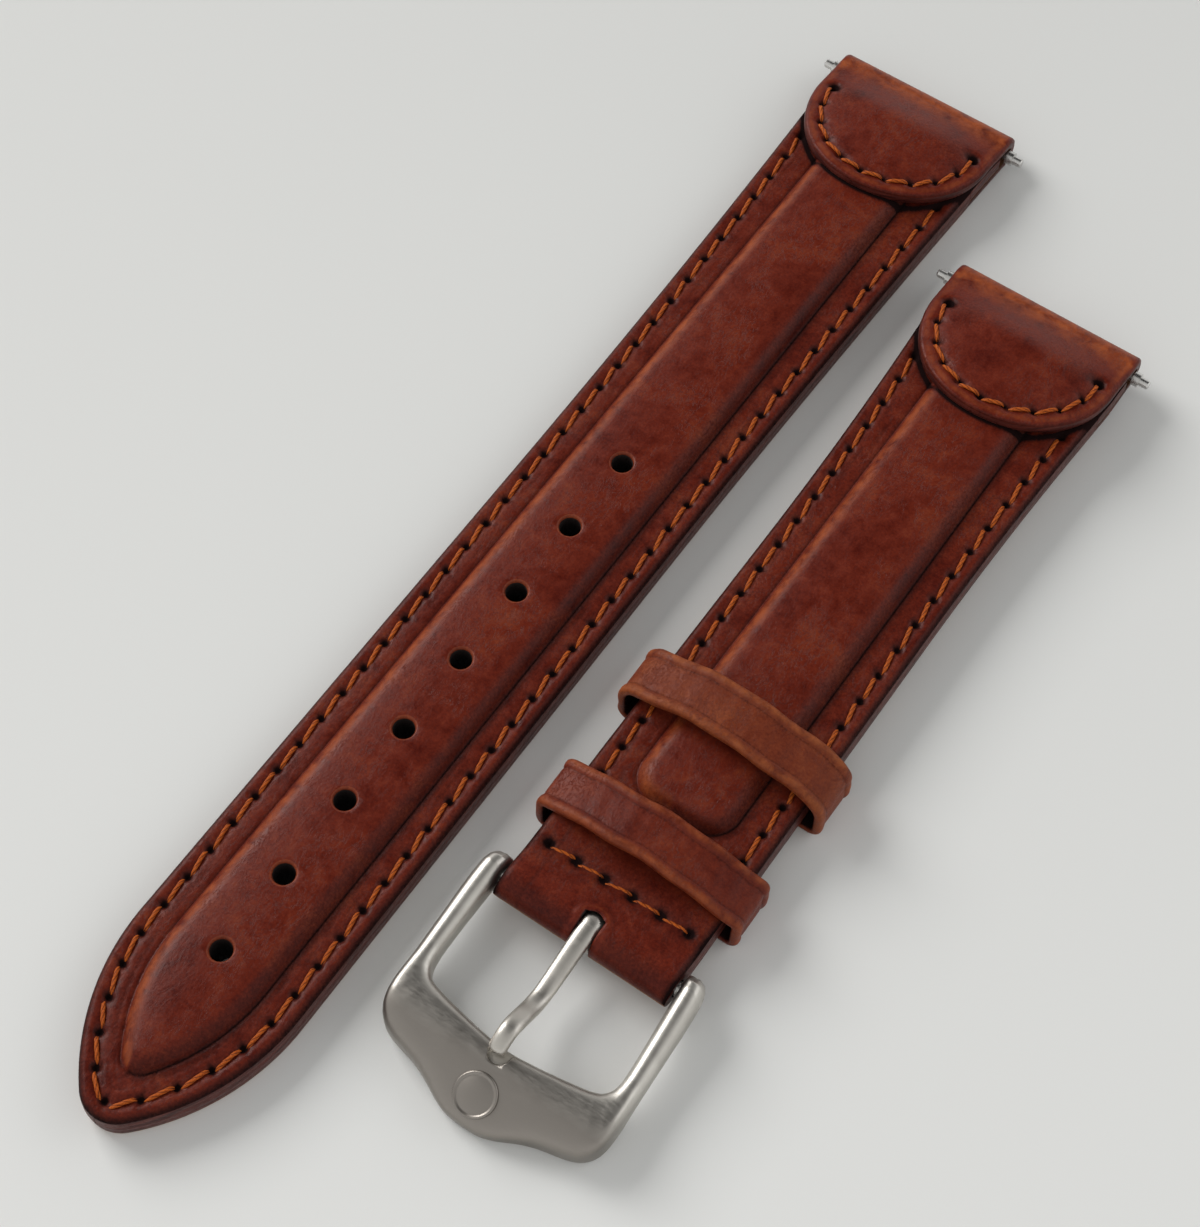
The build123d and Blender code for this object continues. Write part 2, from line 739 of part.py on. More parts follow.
with BuildPart() as buckle_frame:
    with BuildSketch(frame_plan):
        with BuildLine():
            outer = frame_line(ear_outer, frame_corner_reach, frame_point_reach, frame_corner_radius)
            window = frame_line(ear_inner, window_reach, window_reach + window_point,
                                window_corner_radius)
            Line(outer @ 0, window @ 0)
            Line(outer @ 1, window @ 1)
        make_face()
    extrude(amount=axis_height + ear_radius)
    with BuildSketch(frame_side):
        with BuildLine():
            ear = ThreePointArc((0, axis_height + ear_radius), (-ear_radius, axis_height),
                                (0, axis_height - ear_radius))
            top = Spline(ear @ 0, (rail_mid_reach, rail_top_height), (frame_crest_reach, frame_height),
                         (frame_slope_reach, frame_slope_height),
                         (frame_point_reach, frame_nose_height), tangents=((1, -0.05), (1, -0.7)))
            foot = Spline(ear @ 1, (rail_mid_reach, rail_bottom_height), (frame_foot_reach, 0),
                          tangents=((1, 0), (1, 0)))
            Polyline(foot @ 1, (frame_point_reach, 0), top @ 1)
        make_face()
    extrude(amount=lug_width, both=True, mode=Mode.INTERSECT)
    fillet(buckle_frame.edges(), radius=frame_edge_radius)
    front_fall = frame_height - frame_nose_height
    front_run = frame_point_reach - frame_crest_reach
    disc_face = Plane(origin=frame_plan.origin + Vector(0, -disc_reach, disc_top), x_dir=(1, 0, 0),
                      z_dir=(0, -front_fall, front_run))
    with BuildSketch(disc_face):
        Circle(disc_radius)
    extrude(amount=-disc_thickness)
    with BuildSketch(frame_plan.offset(notch_floor)):
        with Locations((0, notch_width / 2 - window_reach - window_point - notch_length)):
            Circle(notch_width / 2)
        with Locations((0, notch_width - window_reach - window_point - notch_length)):
            Rectangle(notch_width, notch_width)
    extrude(amount=frame_height, mode=Mode.SUBTRACT)
    with BuildSketch(cross_plane(short_plane, short_length, bar_height)):
        Rectangle(2 * (ear_inner + bar_tip_length + bar_end_play), bar_tip_radius + ear_hole_play,
                  align=(Align.CENTER, Align.MIN))
    revolve(axis=Axis((short_centre, short_bar - short_length, axis_height), (1, 0, 0)),
            mode=Mode.SUBTRACT)
buckle_frame.part.label = "buckle_frame"
export_step(buckle_frame.part, "parts/buckle_frame.step")

# Buckle tongue: an eye round the bar's tube and a waved arm that rests in the frame's notch
tongue_eye_radius = loop_radius - tongue_ring_play
tongue_root = axis_height + tongue_eye_radius - tongue_thickness / 2
tongue_seat = notch_floor + tongue_seat_gap + tongue_thickness / 2
with BuildPart() as buckle_tongue:
    with BuildSketch(frame_side):
        with BuildLine():
            Spline((0, tongue_root), (tongue_dip_reach, tongue_dip),
                   (tongue_crest_reach, tongue_crest), (tongue_reach, tongue_seat),
                   tangents=((1, 0), (1, -1)))
        trace(line_width=tongue_thickness)
        with Locations((0, axis_height)):
            Circle(tongue_eye_radius)
            Circle(loop_bore_radius, mode=Mode.SUBTRACT)
    extrude(amount=tongue_width / 2, both=True)
buckle_tongue.part.label = "buckle_tongue"
export_step(buckle_tongue.part, "parts/buckle_tongue.step")
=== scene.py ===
import math
import bmesh
import bpy
import numpy as np
from mathutils import Matrix, Vector
from mathutils.kdtree import KDTree


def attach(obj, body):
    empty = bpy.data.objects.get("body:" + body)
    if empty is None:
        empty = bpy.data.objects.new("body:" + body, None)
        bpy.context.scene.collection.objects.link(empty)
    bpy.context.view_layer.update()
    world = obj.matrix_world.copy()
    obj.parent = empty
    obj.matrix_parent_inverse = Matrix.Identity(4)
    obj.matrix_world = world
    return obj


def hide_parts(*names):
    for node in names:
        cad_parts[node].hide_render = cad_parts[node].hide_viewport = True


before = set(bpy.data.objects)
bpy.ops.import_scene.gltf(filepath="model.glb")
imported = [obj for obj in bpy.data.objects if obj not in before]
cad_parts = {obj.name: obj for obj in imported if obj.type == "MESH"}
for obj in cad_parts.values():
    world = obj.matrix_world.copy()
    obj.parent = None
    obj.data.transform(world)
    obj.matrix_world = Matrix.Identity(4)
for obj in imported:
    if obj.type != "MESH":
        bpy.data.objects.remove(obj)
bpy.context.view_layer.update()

# All sizes are in millimetres. A place on a strap is s along it from the lug bar, t across, z up.
MM = 0.001
TAIL = (-10.675, 57.16, 0.0)
SHORT = (10.675, 41.76, 0.86)
# Height of the flat border, rise of the padding over it, and the seam's distance from the edge
FLANGE, RISE, INSET = 3.0, 1.25, 1.35
# Lug tab's half-round flap, and the leather's loop round a bar with the hole in it
TAB_CENTRE, TAB_RADIUS = 3.95, 8.8
LOOP, BORE = 1.68, 0.78
SHORT_LENGTH = 68.1
BUCKLE = (SHORT[0], SHORT[1] - SHORT_LENGTH, 0)
BAR_HEIGHT = SHORT[2] + LOOP
# Tail outline: taper from the lug, straight sides, two long arcs and a round tip between them
TAIL_HALF, TAIL_FLARE, TAIL_TAPER = 7.67, 1.23, 54.0
ARC_START, ARC_RADIUS = 101.5, 19.495
TIP_S, TIP_RADIUS = 113, 3
TIP_ALONG, TIP_ACROSS = 0.6972, 0.7169
# Padding of the tail half, which follows that outline further in
PAD_HALF, PAD_START = 4.45, 5
PAD_ARC_RADIUS, PAD_ARC_OFFSET = 16.40, 11.95
PAD_TIP_S, PAD_TIP_RADIUS = 110.4, 1.5
PAD_TIP_ALONG, PAD_TIP_ACROSS = 0.5973, 0.802
# Short half's outline: taper between two places
SHORT_HALF, SHORT_TAPER_START, SHORT_TAPER_END = 7.9, 4, 32
# Padding of the short half: a rounded box
SHORT_PAD_MIDDLE, SHORT_PAD_HALF, SHORT_PAD_CORNER = 31.1, (1.85, 23.5), 2.6
# Where the lug tab's leg ends under a strap, and the strap's underside above it
LEG_END, OVER_LEG = 6.04, 0.92
# Opening for the tongue, cross seam, adjustment holes, and the other seams
SLOT_START, SLOT_HALF = 67.98, 0.93
CROSS_S, CROSS_HALF, CROSS_COUNT = 64.4, 6.45, 5
HOLE_START, HOLE_PITCH, HOLE_COUNT = 48.5, 7.5, 8
SEAM_START, TAB_STITCHES = 9.6, 10
dice = np.random.RandomState(11)


def place(half, s, t, z):
    s, t, z = np.broadcast_arrays(s, t, z)
    return np.stack([half[0] + t, half[1] - s, half[2] + z], -1) * MM


def fall(depth, radius):
    """How far a rounded edge has dropped at this distance inside it."""
    inside = np.clip(depth, 0, radius)
    return radius - np.sqrt(np.maximum(radius**2 - (radius - inside)**2, 0))


def bell(x, width):
    return np.exp(-(x / width)**2)


def ease(x):
    x = np.clip(x, 0, 1)
    return x * x * (3 - 2 * x)


# Outlines
def tail_width(s, inset=0.0):
    s = np.asarray(s, float)
    half = TAIL_HALF - inset
    taper = (TAIL_TAPER**2 + TAIL_FLARE**2) / (2 * TAIL_FLARE)
    near = half + taper - np.sqrt(taper**2 - np.clip(TAIL_TAPER - s, 0, None)**2)
    arc = ARC_RADIUS - inset
    far = half - arc + np.sqrt(np.maximum(arc**2 - np.clip(s - ARC_START, 0, None)**2, 0))
    tip = np.sqrt(np.maximum((TIP_RADIUS - inset)**2 - (s - TIP_S)**2, 0))
    arc_end = TIP_S + (TIP_RADIUS - inset) * TIP_ALONG
    return np.where(s < TAIL_TAPER, near, np.where(s < arc_end, far, tip))


def pointed(side, s, t, arc_radius, arc_offset, tip_s, tip_radius, along, across):
    """Distance inside an outline with straight sides, two arcs and a round tip."""
    far = arc_radius - np.hypot(s - ARC_START, abs(t) + arc_offset)
    tip = tip_radius - np.hypot(s - tip_s, t)
    cone = (s > tip_s) & (abs(t) * along < (s - tip_s) * across)
    return np.where(s < ARC_START, side, np.where(cone, tip, far))


def tail_edge(s, t):
    return pointed(tail_width(s) - abs(t), s, t, ARC_RADIUS, ARC_RADIUS - TAIL_HALF,
                   TIP_S, TIP_RADIUS, TIP_ALONG, TIP_ACROSS)


def tail_pad(s, t):
    depth = pointed(PAD_HALF - abs(t), s, t, PAD_ARC_RADIUS, PAD_ARC_OFFSET,
                    PAD_TIP_S, PAD_TIP_RADIUS, PAD_TIP_ALONG, PAD_TIP_ACROSS)
    return np.minimum(depth, s - PAD_START)


def short_width(s, inset=0.0):
    s = np.maximum(np.asarray(s, float), SHORT_TAPER_START)
    taper = ((SHORT_TAPER_END - SHORT_TAPER_START)**2 + 1) / 2
    return SHORT_HALF - inset + taper - np.sqrt(taper**2 - np.clip(SHORT_TAPER_END - s, 0, None)**2)


def short_edge(s, t):
    return short_width(s) - abs(t)


def short_pad(s, t):
    across, along = abs(t) - SHORT_PAD_HALF[0], abs(s - SHORT_PAD_MIDDLE) - SHORT_PAD_HALF[1]
    outside = np.hypot(np.maximum(across, 0), np.maximum(along, 0))
    return SHORT_PAD_CORNER - outside - np.minimum(np.maximum(across, along), 0)


class Seam:
    """Row of stitches along the right-hand side, mirrored to the left."""

    def __init__(self, s, t, pitch=2.74):
        self.s, self.t = np.asarray(s, float), np.asarray(t, float)
        step = np.hypot(np.diff(self.s), np.diff(self.t))
        self.run = np.concatenate([[0], np.cumsum(step)])
        self.count = max(2, round(self.run[-1] / pitch))
        self.step = self.run[-1] / self.count
        self.tree = KDTree(len(self.s))
        for i, (a, b) in enumerate(zip(self.s, self.t)):
            self.tree.insert((a, b, 0), i)
        self.tree.balance()
        self.tilt = dice.uniform(-0.55, 0.55, (2, self.count + 1))
        self.depth = dice.uniform(0.5, 1.2, (2, self.count + 1))
        self.sway = dice.uniform(-1, 1, (2, 3, self.count + 2))

    def near(self, s, t):
        shape = np.broadcast(s, t).shape
        s, t = np.broadcast_to(s, shape).ravel(), np.broadcast_to(t, shape).ravel()
        found = [self.tree.find((a, b, 0)) for a, b in zip(s.tolist(), abs(t).tolist())]
        run = self.run[[f[1] for f in found]].reshape(shape)
        away = np.array([f[2] for f in found]).reshape(shape)
        return run, away

    def relief(self, s, t, inward):
        """Height change and tone of the leather round the stitches; the tone is painted shade in the stitch
        holes, the creases, the channel and the wrinkles.
        """
        run, away = self.near(s, t)
        stitch = run / self.step
        hole = np.rint(stitch).astype(int)
        off = (stitch - hole) * self.step
        side = (np.broadcast_to(t, run.shape) > 0).astype(int)
        tilt, depth = self.tilt[side, hole], self.depth[side, hole]
        pit = np.exp(-(off**2 + away**2) / 0.09)
        crease = depth * bell(off - tilt * (inward - INSET), 0.2) * bell(away, 1.0)
        channel = bell(away, 0.38)
        wrinkle = 0 * away
        low = np.floor(stitch).astype(int)
        part = ease(stitch - low)
        for line, reach in enumerate((0.62, 0.98, 1.36)):
            sway = self.sway[side, line, low] * (1 - part) + self.sway[side, line, low + 1] * part
            wrinkle = wrinkle + np.abs(sway) * bell(inward - INSET - reach - 0.16 * sway, 0.075)
        height = -0.16 * channel - 0.4 * pit - 0.05 * crease - 0.055 * wrinkle
        # Painted shade: darker in the stitch holes, the creases, the channel and the wrinkles.
        tone = -1.1 * np.exp(-(off**2 + away**2) / 0.11) - 0.25 * crease - 0.12 * channel
        tone = tone - 0.3 * wrinkle
        return height, tone

    def stitches(self):
        middles = (np.arange(self.count) + 0.5) * self.step
        s, t = np.interp(middles, self.run, self.s), np.interp(middles, self.run, self.t)
        ahead = [np.interp(middles + 0.1, self.run, v) - np.interp(middles - 0.1, self.run, v)
                 for v in (self.s, self.t)]
        return s, t, ahead[0], ahead[1]


def tail_seam_line():
    reach = TIP_RADIUS - INSET
    s = np.concatenate([np.arange(SEAM_START, ARC_START, 0.1),
                        np.linspace(ARC_START, TIP_S + reach * TIP_ALONG, 160)])
    turn = np.linspace(math.asin(TIP_ALONG), math.pi / 2, 20)[1:]
    return (np.concatenate([s, TIP_S + reach * np.sin(turn)]),
            np.concatenate([tail_width(s, INSET), reach * np.cos(turn)]))


short_run = np.arange(SEAM_START, 60.01, 0.1)
tail_seam = Seam(*tail_seam_line())
short_seam = Seam(short_run, short_width(short_run, INSET))
bend = np.linspace(0, math.pi / 2, 120)
tab_reach = TAB_RADIUS - INSET
tab_seam = Seam(TAB_CENTRE + tab_reach * np.sin(bend), tab_reach * np.cos(bend),
                math.pi * tab_reach / TAB_STITCHES)


# Heights
def ridge(depth):
    x = np.clip(depth / 1.35, 0, 1)
    return 1 - (1 - x)**2.3


def pad_height(pad, s, t):
    depth = pad(s, t)
    crown = 0.42 * (1 - np.clip(depth / PAD_HALF, 0, 1))**2
    return (RISE - crown) * ridge(depth) - 0.1 * bell(depth + 0.05, 0.16)


def under_tab(s):
    return np.minimum(FLANGE, 2.4 + 0.54 * s / 2.6)


def short_end(s):
    """Top of the buckle end: a ramp up to the loop, then the loop's nose."""
    ramp = 0.36 * ease((s - 65.4) / 2.7)
    nose = LOOP + np.sqrt(np.maximum(LOOP**2 - np.clip(s - SHORT_LENGTH, 0, LOOP)**2, 0))
    return np.where(s > SHORT_LENGTH, nose, FLANGE + ramp)


def slot_distance(s, t):
    """Distance outside the opening for the tongue."""
    return np.hypot(np.maximum(SLOT_START - s, 0), t) - SLOT_HALF


cross_step = 2 * CROSS_HALF / CROSS_COUNT


def cross_relief(s, t):
    stitch = (t + CROSS_HALF) / cross_step
    hole = np.clip(np.rint(stitch), 0, CROSS_COUNT)
    off, away = (stitch - hole) * cross_step, s - CROSS_S
    height = -0.5 * np.exp(-(off**2 + away**2) / 0.13) - 0.12 * bell(away, 0.45) * (abs(t) < 6.6)
    # Painted shade in the cross seam's stitch holes and along its groove.
    return height, -1.3 * np.exp(-(off**2 + away**2) / 0.2) - 0.2 * bell(away, 1.3)


def tab_height(s, t):
    rim = 3.36 + 0.54 * ease(s / 5)
    crown = 3.36 + 1.79 * ease((s + 0.6) / 5.6)
    return rim + (crown - rim) * (1 - np.clip(abs(t) / TAB_RADIUS, 0, 1)**2)


def tab_edge(s, t):
    return TAB_RADIUS + 0.05 - np.where(s < TAB_CENTRE, abs(t), np.hypot(s - TAB_CENTRE, t))


# Meshes
def mesh_object(name, points, faces, materials, face_material, tone, sharp=50):
    mesh = bpy.data.meshes.new(name)
    mesh.from_pydata(points.tolist(), [], faces)
    for material in materials:
        mesh.materials.append(material)
    mesh.polygons.foreach_set("material_index", np.asarray(face_material, dtype=np.int32))
    held = mesh.attributes.new("tone", "FLOAT", "POINT")
    held.data.foreach_set("value", np.asarray(tone, dtype=np.float32))
    mesh.polygons.foreach_set("use_smooth", np.ones(len(faces), dtype=bool))
    form = bmesh.new()
    form.from_mesh(mesh)
    bmesh.ops.recalc_face_normals(form, faces=form.faces)
    form.to_mesh(mesh)
    form.free()
    mesh.update()
    mesh.set_sharp_from_angle(angle=math.radians(sharp))
    piece = bpy.data.objects.new(name, mesh)
    bpy.context.scene.collection.objects.link(piece)
    return piece


def tube(count, size, start=0):
    """Faces over rings of points, with both ends filled."""
    last = start + (count - 1) * size
    faces = [(a + j, a + (j + 1) % size, a + size + (j + 1) % size, a + size + j)
             for a in range(start, last, size) for j in range(size)]
    return faces + [tuple(range(start, start + size))[::-1], tuple(range(last, last + size))]


def torus(count, size):
    """Faces over rings of points, the last ring joined to the first."""
    return [(a * size + j, a * size + (j + 1) % size, (a + 1) % count * size + (j + 1) % size,
             (a + 1) % count * size + j) for a in range(count) for j in range(size)]


def skin(name, rings, material, faces=None):
    """One material over rings of points: a filled tube unless other faces are given."""
    count, size = rings.shape[:2]
    faces = faces or tube(count, size)
    return mesh_object(name, rings.reshape(-1, 3), faces, [material], [0] * len(faces),
                       np.zeros(count * size), 60)


def loft(name, rings, columns, sides, materials, tone):
    """Skin over closed rings that run: upper columns, right side, lower columns, left side."""
    count, size = rings.shape[:2]
    faces, material = [], []
    kinds = [0] * (columns - 1) + [1] * (sides + 1) + [2] * (columns - 1) + [1] * (sides + 1)
    for i in range(count - 1):
        a, b = i * size, (i + 1) * size
        for j in range(size):
            k = (j + 1) % size
            faces.append((a + j, b + j, b + k, a + k))
            material.append(kinds[j])
    for first, flip in ((0, False), ((count - 1) * size, True)):
        for j in range(columns - 1):
            low = 2 * columns + sides - 1 - j
            quad = (first + j, first + j + 1, first + low - 1, first + low)
            faces.append(quad[::-1] if flip else quad)
            material.append(1)
        right = [first + j for j in range(columns - 1, columns + sides + 1)]
        left = [first + j % size for j in range(2 * columns + sides - 1, size + 1)]
        for end in (right, left):
            faces.append(tuple(end[::-1]) if flip else tuple(end))
            material.append(1)
    return mesh_object(name, rings.reshape(-1, 3), faces, materials, material, tone.ravel())


def columns_for(width, middle, edge_marks, middle_marks):
    """Places across a strap, following its edge and its ridge."""
    outer = [width - (width - middle) * v for v in edge_marks]
    inner = [middle * v for v in middle_marks]
    right = np.stack(inner[::-1] + outer[::-1], -1)
    return np.concatenate([-right[:, ::-1], right[:, 1:]], -1)


EDGE_MARKS = [0, 0.015, 0.045, 0.09, 0.14, 0.2, 0.26, 0.31, 0.36, 0.40, 0.44, 0.48, 0.53, 0.6, 0.68,
              0.76, 0.84, 0.91, 0.96, 1.0]
MIDDLE_MARKS = [0.975, 0.95, 0.92, 0.89, 0.86, 0.82, 0.77, 0.7, 0.6, 0.48, 0.34, 0.18, 0]


def strap(name, half, s, width_at, edge_at, pad_at, seam, top_at, bottom_at, extra, materials):
    """Body of one half: top leather over its padding, painted edges and the lining underneath."""
    width = width_at(s)
    middle = np.clip(pad_at_half(pad_at, s), 0.3 * width, None)
    across = columns_for(width, middle, EDGE_MARKS, MIDDLE_MARKS)
    count, columns = across.shape
    along = np.repeat(s[:, None], columns, 1)
    inward = edge_at(along, across)
    top, bottom = top_at(along), bottom_at(along)
    thick = top - bottom
    wave, tone = seam.relief(along, across, inward)
    lift = pad_height(pad_at, along, across)
    upper = top + lift + wave - fall(inward, 0.62) * np.clip(thick / 3, 0, 1)
    depth = pad_at(along, across)
    # Painted shade in the crease at the pad's foot; also darker along the outer edge.
    tone = tone - 0.55 * bell(depth + 0.12, 0.14) - 0.75 * bell(inward, 0.32)
    # Painted light: the ridge's left slope is made lighter and its right slope darker.
    painted_side_light_and_shade = np.where(across < 0, 0.45 * bell(depth - 0.5, 0.5), -0.46 * bell(depth - 0.2, 0.8))
    tone = tone + painted_side_light_and_shade * (depth > -0.6) - 0.14 * (depth < -0.3)
    # Painted shadow on the strap just outside the lug tab's flap.
    tone = tone - 1.3 * bell(tab_edge(along, across) + 0.08, 0.26) * (along > 2)
    if extra is not None:
        more_height, more_tone = extra(along, across)
        upper, tone = upper + more_height, tone + more_tone
    run, away = seam.near(along, across)
    groove = 0.32 * bell(away, 0.4) * (bottom < 0.5)
    lower = bottom + fall(inward, 0.35) * np.clip(thick / 3, 0, 1) + groove
    sides = 9
    share = (np.arange(sides) + 1) / (sides + 1)
    slope = np.gradient(np.stack([s, width]), axis=1)
    normal = np.stack([-slope[1], slope[0]]) / np.hypot(slope[0], slope[1])
    wall_z = upper[:, -1:] * (1 - share) + lower[:, -1:] * share
    layers = bell(wall_z - 0.9, 0.13) + bell(wall_z - 1.7, 0.13)
    bulge = 0.07 * np.sin(math.pi * share) - 0.045 * layers
    bulge = bulge * np.clip(thick[:, :1] / 3, 0, 1)
    wall_s = s[:, None] + normal[0][:, None] * bulge
    wall_t = width[:, None] + normal[1][:, None] * bulge
    rings = np.concatenate([
        place(half, along, across, upper),
        place(half, wall_s, wall_t, wall_z),
        place(half, along[:, ::-1], across[:, ::-1], lower[:, ::-1]),
        place(half, wall_s[:, ::-1], -wall_t[:, ::-1], wall_z[:, ::-1])], 1)
    none = np.zeros((count, sides))
    # Painted shade along the seam groove in the lining.
    tones = np.concatenate([tone, none, -0.6 * bell(away, 0.4)[:, ::-1], none], 1)
    return loft(name, rings, columns, sides, materials, tones)


def pad_at_half(pad_at, s):
    """Half width of the ridge, where the middle columns end."""
    t = np.linspace(0, PAD_HALF, 90)
    inside = pad_at(s[:, None], t[None, :]) > 0
    return np.where(inside.any(1), t[np.maximum(inside.sum(1) - 1, 0)], 0)


def tab(name, half, width_at, pad_at, materials):
    """Leather turned round the spring bar: leg below, loop, and the half-round flap on top."""
    flap_marks = np.array([0, 0.012, 0.03, 0.055, 0.085, 0.115, 0.14, 0.16, 0.185, 0.22, 0.27, 0.33,
                           0.4, 0.5, 0.6, 0.72, 0.86])
    u = np.concatenate([-(1 - flap_marks), [0], (1 - flap_marks)[::-1]])
    rows = []
    for s in np.linspace(6.0, 0.4, 14):
        rows.append(("leg", s, float(width_at(s)) - 0.02))
    for turn in np.linspace(0, math.pi, 25):
        rows.append(("loop", turn, 8.9))
    for s in np.arange(0.25, TAB_CENTRE, 0.22):
        rows.append(("flap", s, 8.9 - 0.05 * s / TAB_CENTRE))
    for turn in np.linspace(0.0, math.radians(89.3), 76):
        rows.append(("flap", TAB_CENTRE + (TAB_RADIUS + 0.05) * math.sin(turn),
                     (TAB_RADIUS + 0.05) * math.cos(turn)))
    rings, tones = [], []
    sides = 4
    share = (np.arange(sides) + 1) / (sides + 1)
    swell = 0.05 * np.sin(math.pi * share)
    for kind, value, width in rows:
        t = u * width
        drop = fall(width - abs(t), 0.3)
        if kind == "leg":
            outer_s, outer_z = np.full_like(t, value), drop
            inner_s, inner_z = outer_s, np.full_like(t, 0.88)
            tone = -0.5 * bell(width - abs(t), 0.4)
        elif kind == "loop":
            reach = LOOP - drop
            outer_s, outer_z = -reach * math.sin(value), LOOP - reach * math.cos(value)
            inner_s = np.full_like(t, -BORE * math.sin(value))
            inner_z = np.full_like(t, LOOP - BORE * math.cos(value))
            # Painted highlight: lighter toward the top of the loop.
            tone = 0.55 * math.sin(value / 2)**2 - 0.8 * bell(width - abs(t), 0.45)
        else:
            outer_s = np.full_like(t, value)
            inward = tab_edge(outer_s, t) if value > 0.5 else width - abs(t)
            wave, tone = tab_seam.relief(outer_s, t, inward)
            fade = ease((value - 2.0) / 1.5)
            end_hole = np.exp(-((outer_s - 3.9)**2 + (abs(t) - 7.25)**2) / 0.26)
            outer_z = tab_height(outer_s, t) + wave * fade - fall(inward, 0.26) - 0.45 * end_hole
            body_top = under_tab(outer_s) + np.maximum(pad_height(pad_at, outer_s, t), 0)
            inner_s, inner_z = outer_s, np.maximum(outer_z - 1.12 + fall(inward, 0.38), body_top + 0.05)
            inner_z = np.minimum(inner_z, outer_z - 0.3)
            # Painted shade in the dent at the seam's end.
            tone = tone * fade - 0.5 * bell(inward, 0.2) - 1.1 * end_hole
            # Painted highlight on the fold and on the lip just inside the flap's edge.
            tone = tone + 0.5 * bell(outer_s + 0.4, 1.5) + 0.25 * bell(inward - 0.55, 0.3)
            corner = bell(np.hypot(outer_s - 4.4, abs(t) - 5.2), 1.7)
            tone = tone - 0.3 * corner
        wall_s = outer_s[-1] * (1 - share) + inner_s[-1] * share
        wall_z = outer_z[-1] * (1 - share) + inner_z[-1] * share
        if kind == "flap" and value > TAB_CENTRE:
            lean = math.asin(min(1, (value - TAB_CENTRE) / (TAB_RADIUS + 0.05)))
            wall_s = wall_s + swell * math.sin(lean)
            wall_t = width + swell * math.cos(lean)
        else:
            wall_t = width + swell * 0.8
        rings.append(np.concatenate([
            place(half, outer_s, t, outer_z), place(half, wall_s, wall_t, wall_z),
            place(half, inner_s[::-1], t[::-1], inner_z[::-1]),
            place(half, wall_s[::-1], -np.broadcast_to(wall_t, wall_s.shape)[::-1], wall_z[::-1])]))
        # The inner face is darkened: painted shade under the flap, the leg and the loop.
        tones.append(np.concatenate([tone + 0 * t, np.zeros(sides), np.full(len(t), -0.5), np.zeros(sides)]))
    return loft(name, np.array(rings), len(u), sides, materials, np.array(tones))


def cut(piece, cutters):
    for cutter in cutters:
        step = piece.modifiers.new("cut", "BOOLEAN")
        step.operation = "DIFFERENCE"
        step.solver = "MANIFOLD"
        step.material_mode = "TRANSFER"
        step.object = cutter
    graph = bpy.context.evaluated_depsgraph_get()
    mesh = bpy.data.meshes.new_from_object(piece.evaluated_get(graph))
    piece.modifiers.clear()
    piece.data = mesh
    for cutter in cutters:
        bpy.data.objects.remove(cutter)


def lathe(name, half, s, t, profile, materials, kinds, segments=40):
    """Solid of revolution about an upright axis, from (radius, height) pairs."""
    turn = np.arange(segments) * 2 * math.pi / segments
    points = np.concatenate([place(half, s + radius * np.sin(turn), t + radius * np.cos(turn), z)
                             for radius, z in profile])
    material = list(np.repeat(kinds, segments)) + [0, 0]
    return mesh_object(name, points, tube(len(profile), segments), materials, material,
                       np.zeros(len(points)))


def prism(name, points, low, high, half, materials):
    """Upright solid with a flat outline given as (s, t) pairs."""
    s, t = np.array(points).T
    count = len(s)
    verts = np.concatenate([place(half, s, t, low), place(half, s, t, high)])
    return mesh_object(name, verts, tube(2, count), materials, [0] * (count + 2), np.zeros(2 * count))


def rod(name, half, s, z, radius, reach, materials, segments=48):
    """Round solid across the strap, to cut holes for the bar with."""
    turn = np.arange(segments) * 2 * math.pi / segments
    rings = [place(half, s + radius * np.cos(turn), t, z + radius * np.sin(turn)) for t in (-reach, reach)]
    return mesh_object(name, np.concatenate(rings), tube(2, segments), materials,
                       [0] * (segments + 2), np.zeros(2 * segments))


# Thread
def stitch_shape(length, phase, half_width=0.165, half_height=0.14, rows=26, around=16):
    a = np.linspace(-1, 1, rows)[:, None]
    turn = np.arange(around)[None, :] * 2 * math.pi / around
    along = a * length / 2
    ply = np.abs(np.cos(1.5 * (turn - 2 * math.pi * along / 2.1 + phase)))
    swell = (0.86 + 0.2 * ply) * (1 - 0.3 * a**6)
    x = along + 0 * turn
    y = half_width * swell * np.cos(turn)
    z = half_height * swell * np.sin(turn) - 0.01 - 0.36 * a**4
    # Its tone paints shade in the grooves between the plies and at both ends, where the thread dives into its
    # hole.
    return np.stack([x, y, z], -1).reshape(-1, 3), (1.3 * ply - 0.9 - 0.5 * a**8).ravel(), rows, around


def thread(name, spots, material, length):
    """One object of twisted stitches; a spot is its middle, heading and normal in the row frame."""
    points, faces, tones = [], [], []
    base = 0
    for middle, ahead, up in spots:
        shape, tone, rows, around = stitch_shape(length * dice.uniform(0.93, 1.05), dice.uniform(0, 6))
        slant = math.radians(9 + dice.uniform(-3, 4))
        ahead = ahead / np.linalg.norm(ahead)
        up = up / np.linalg.norm(up)
        across = np.cross(up, ahead)
        ahead, across = (math.cos(slant) * ahead + math.sin(slant) * across,
                         math.cos(slant) * across - math.sin(slant) * ahead)
        points.append(middle + (shape @ np.stack([ahead, across, up])) * MM)
        tones.append(tone)
        faces += tube(rows, around, base)
        base += rows * around
    return mesh_object(name, np.concatenate(points), faces, [material], [0] * len(faces),
                       np.concatenate(tones), 80)


def side_spots(half, seam, height=FLANGE):
    spots = []
    s, t, ds, dt = seam.stitches()
    for side in (1, -1):
        for i in range(len(s)):
            ahead = np.array([side * dt[i], -ds[i], 0.0])
            spots.append((place(half, s[i], side * t[i], height), ahead, np.array([0, 0, 1.0])))
            spots.append((place(half, s[i], side * t[i], 0.27), ahead, np.array([0, 0, -1.0])))
    return spots


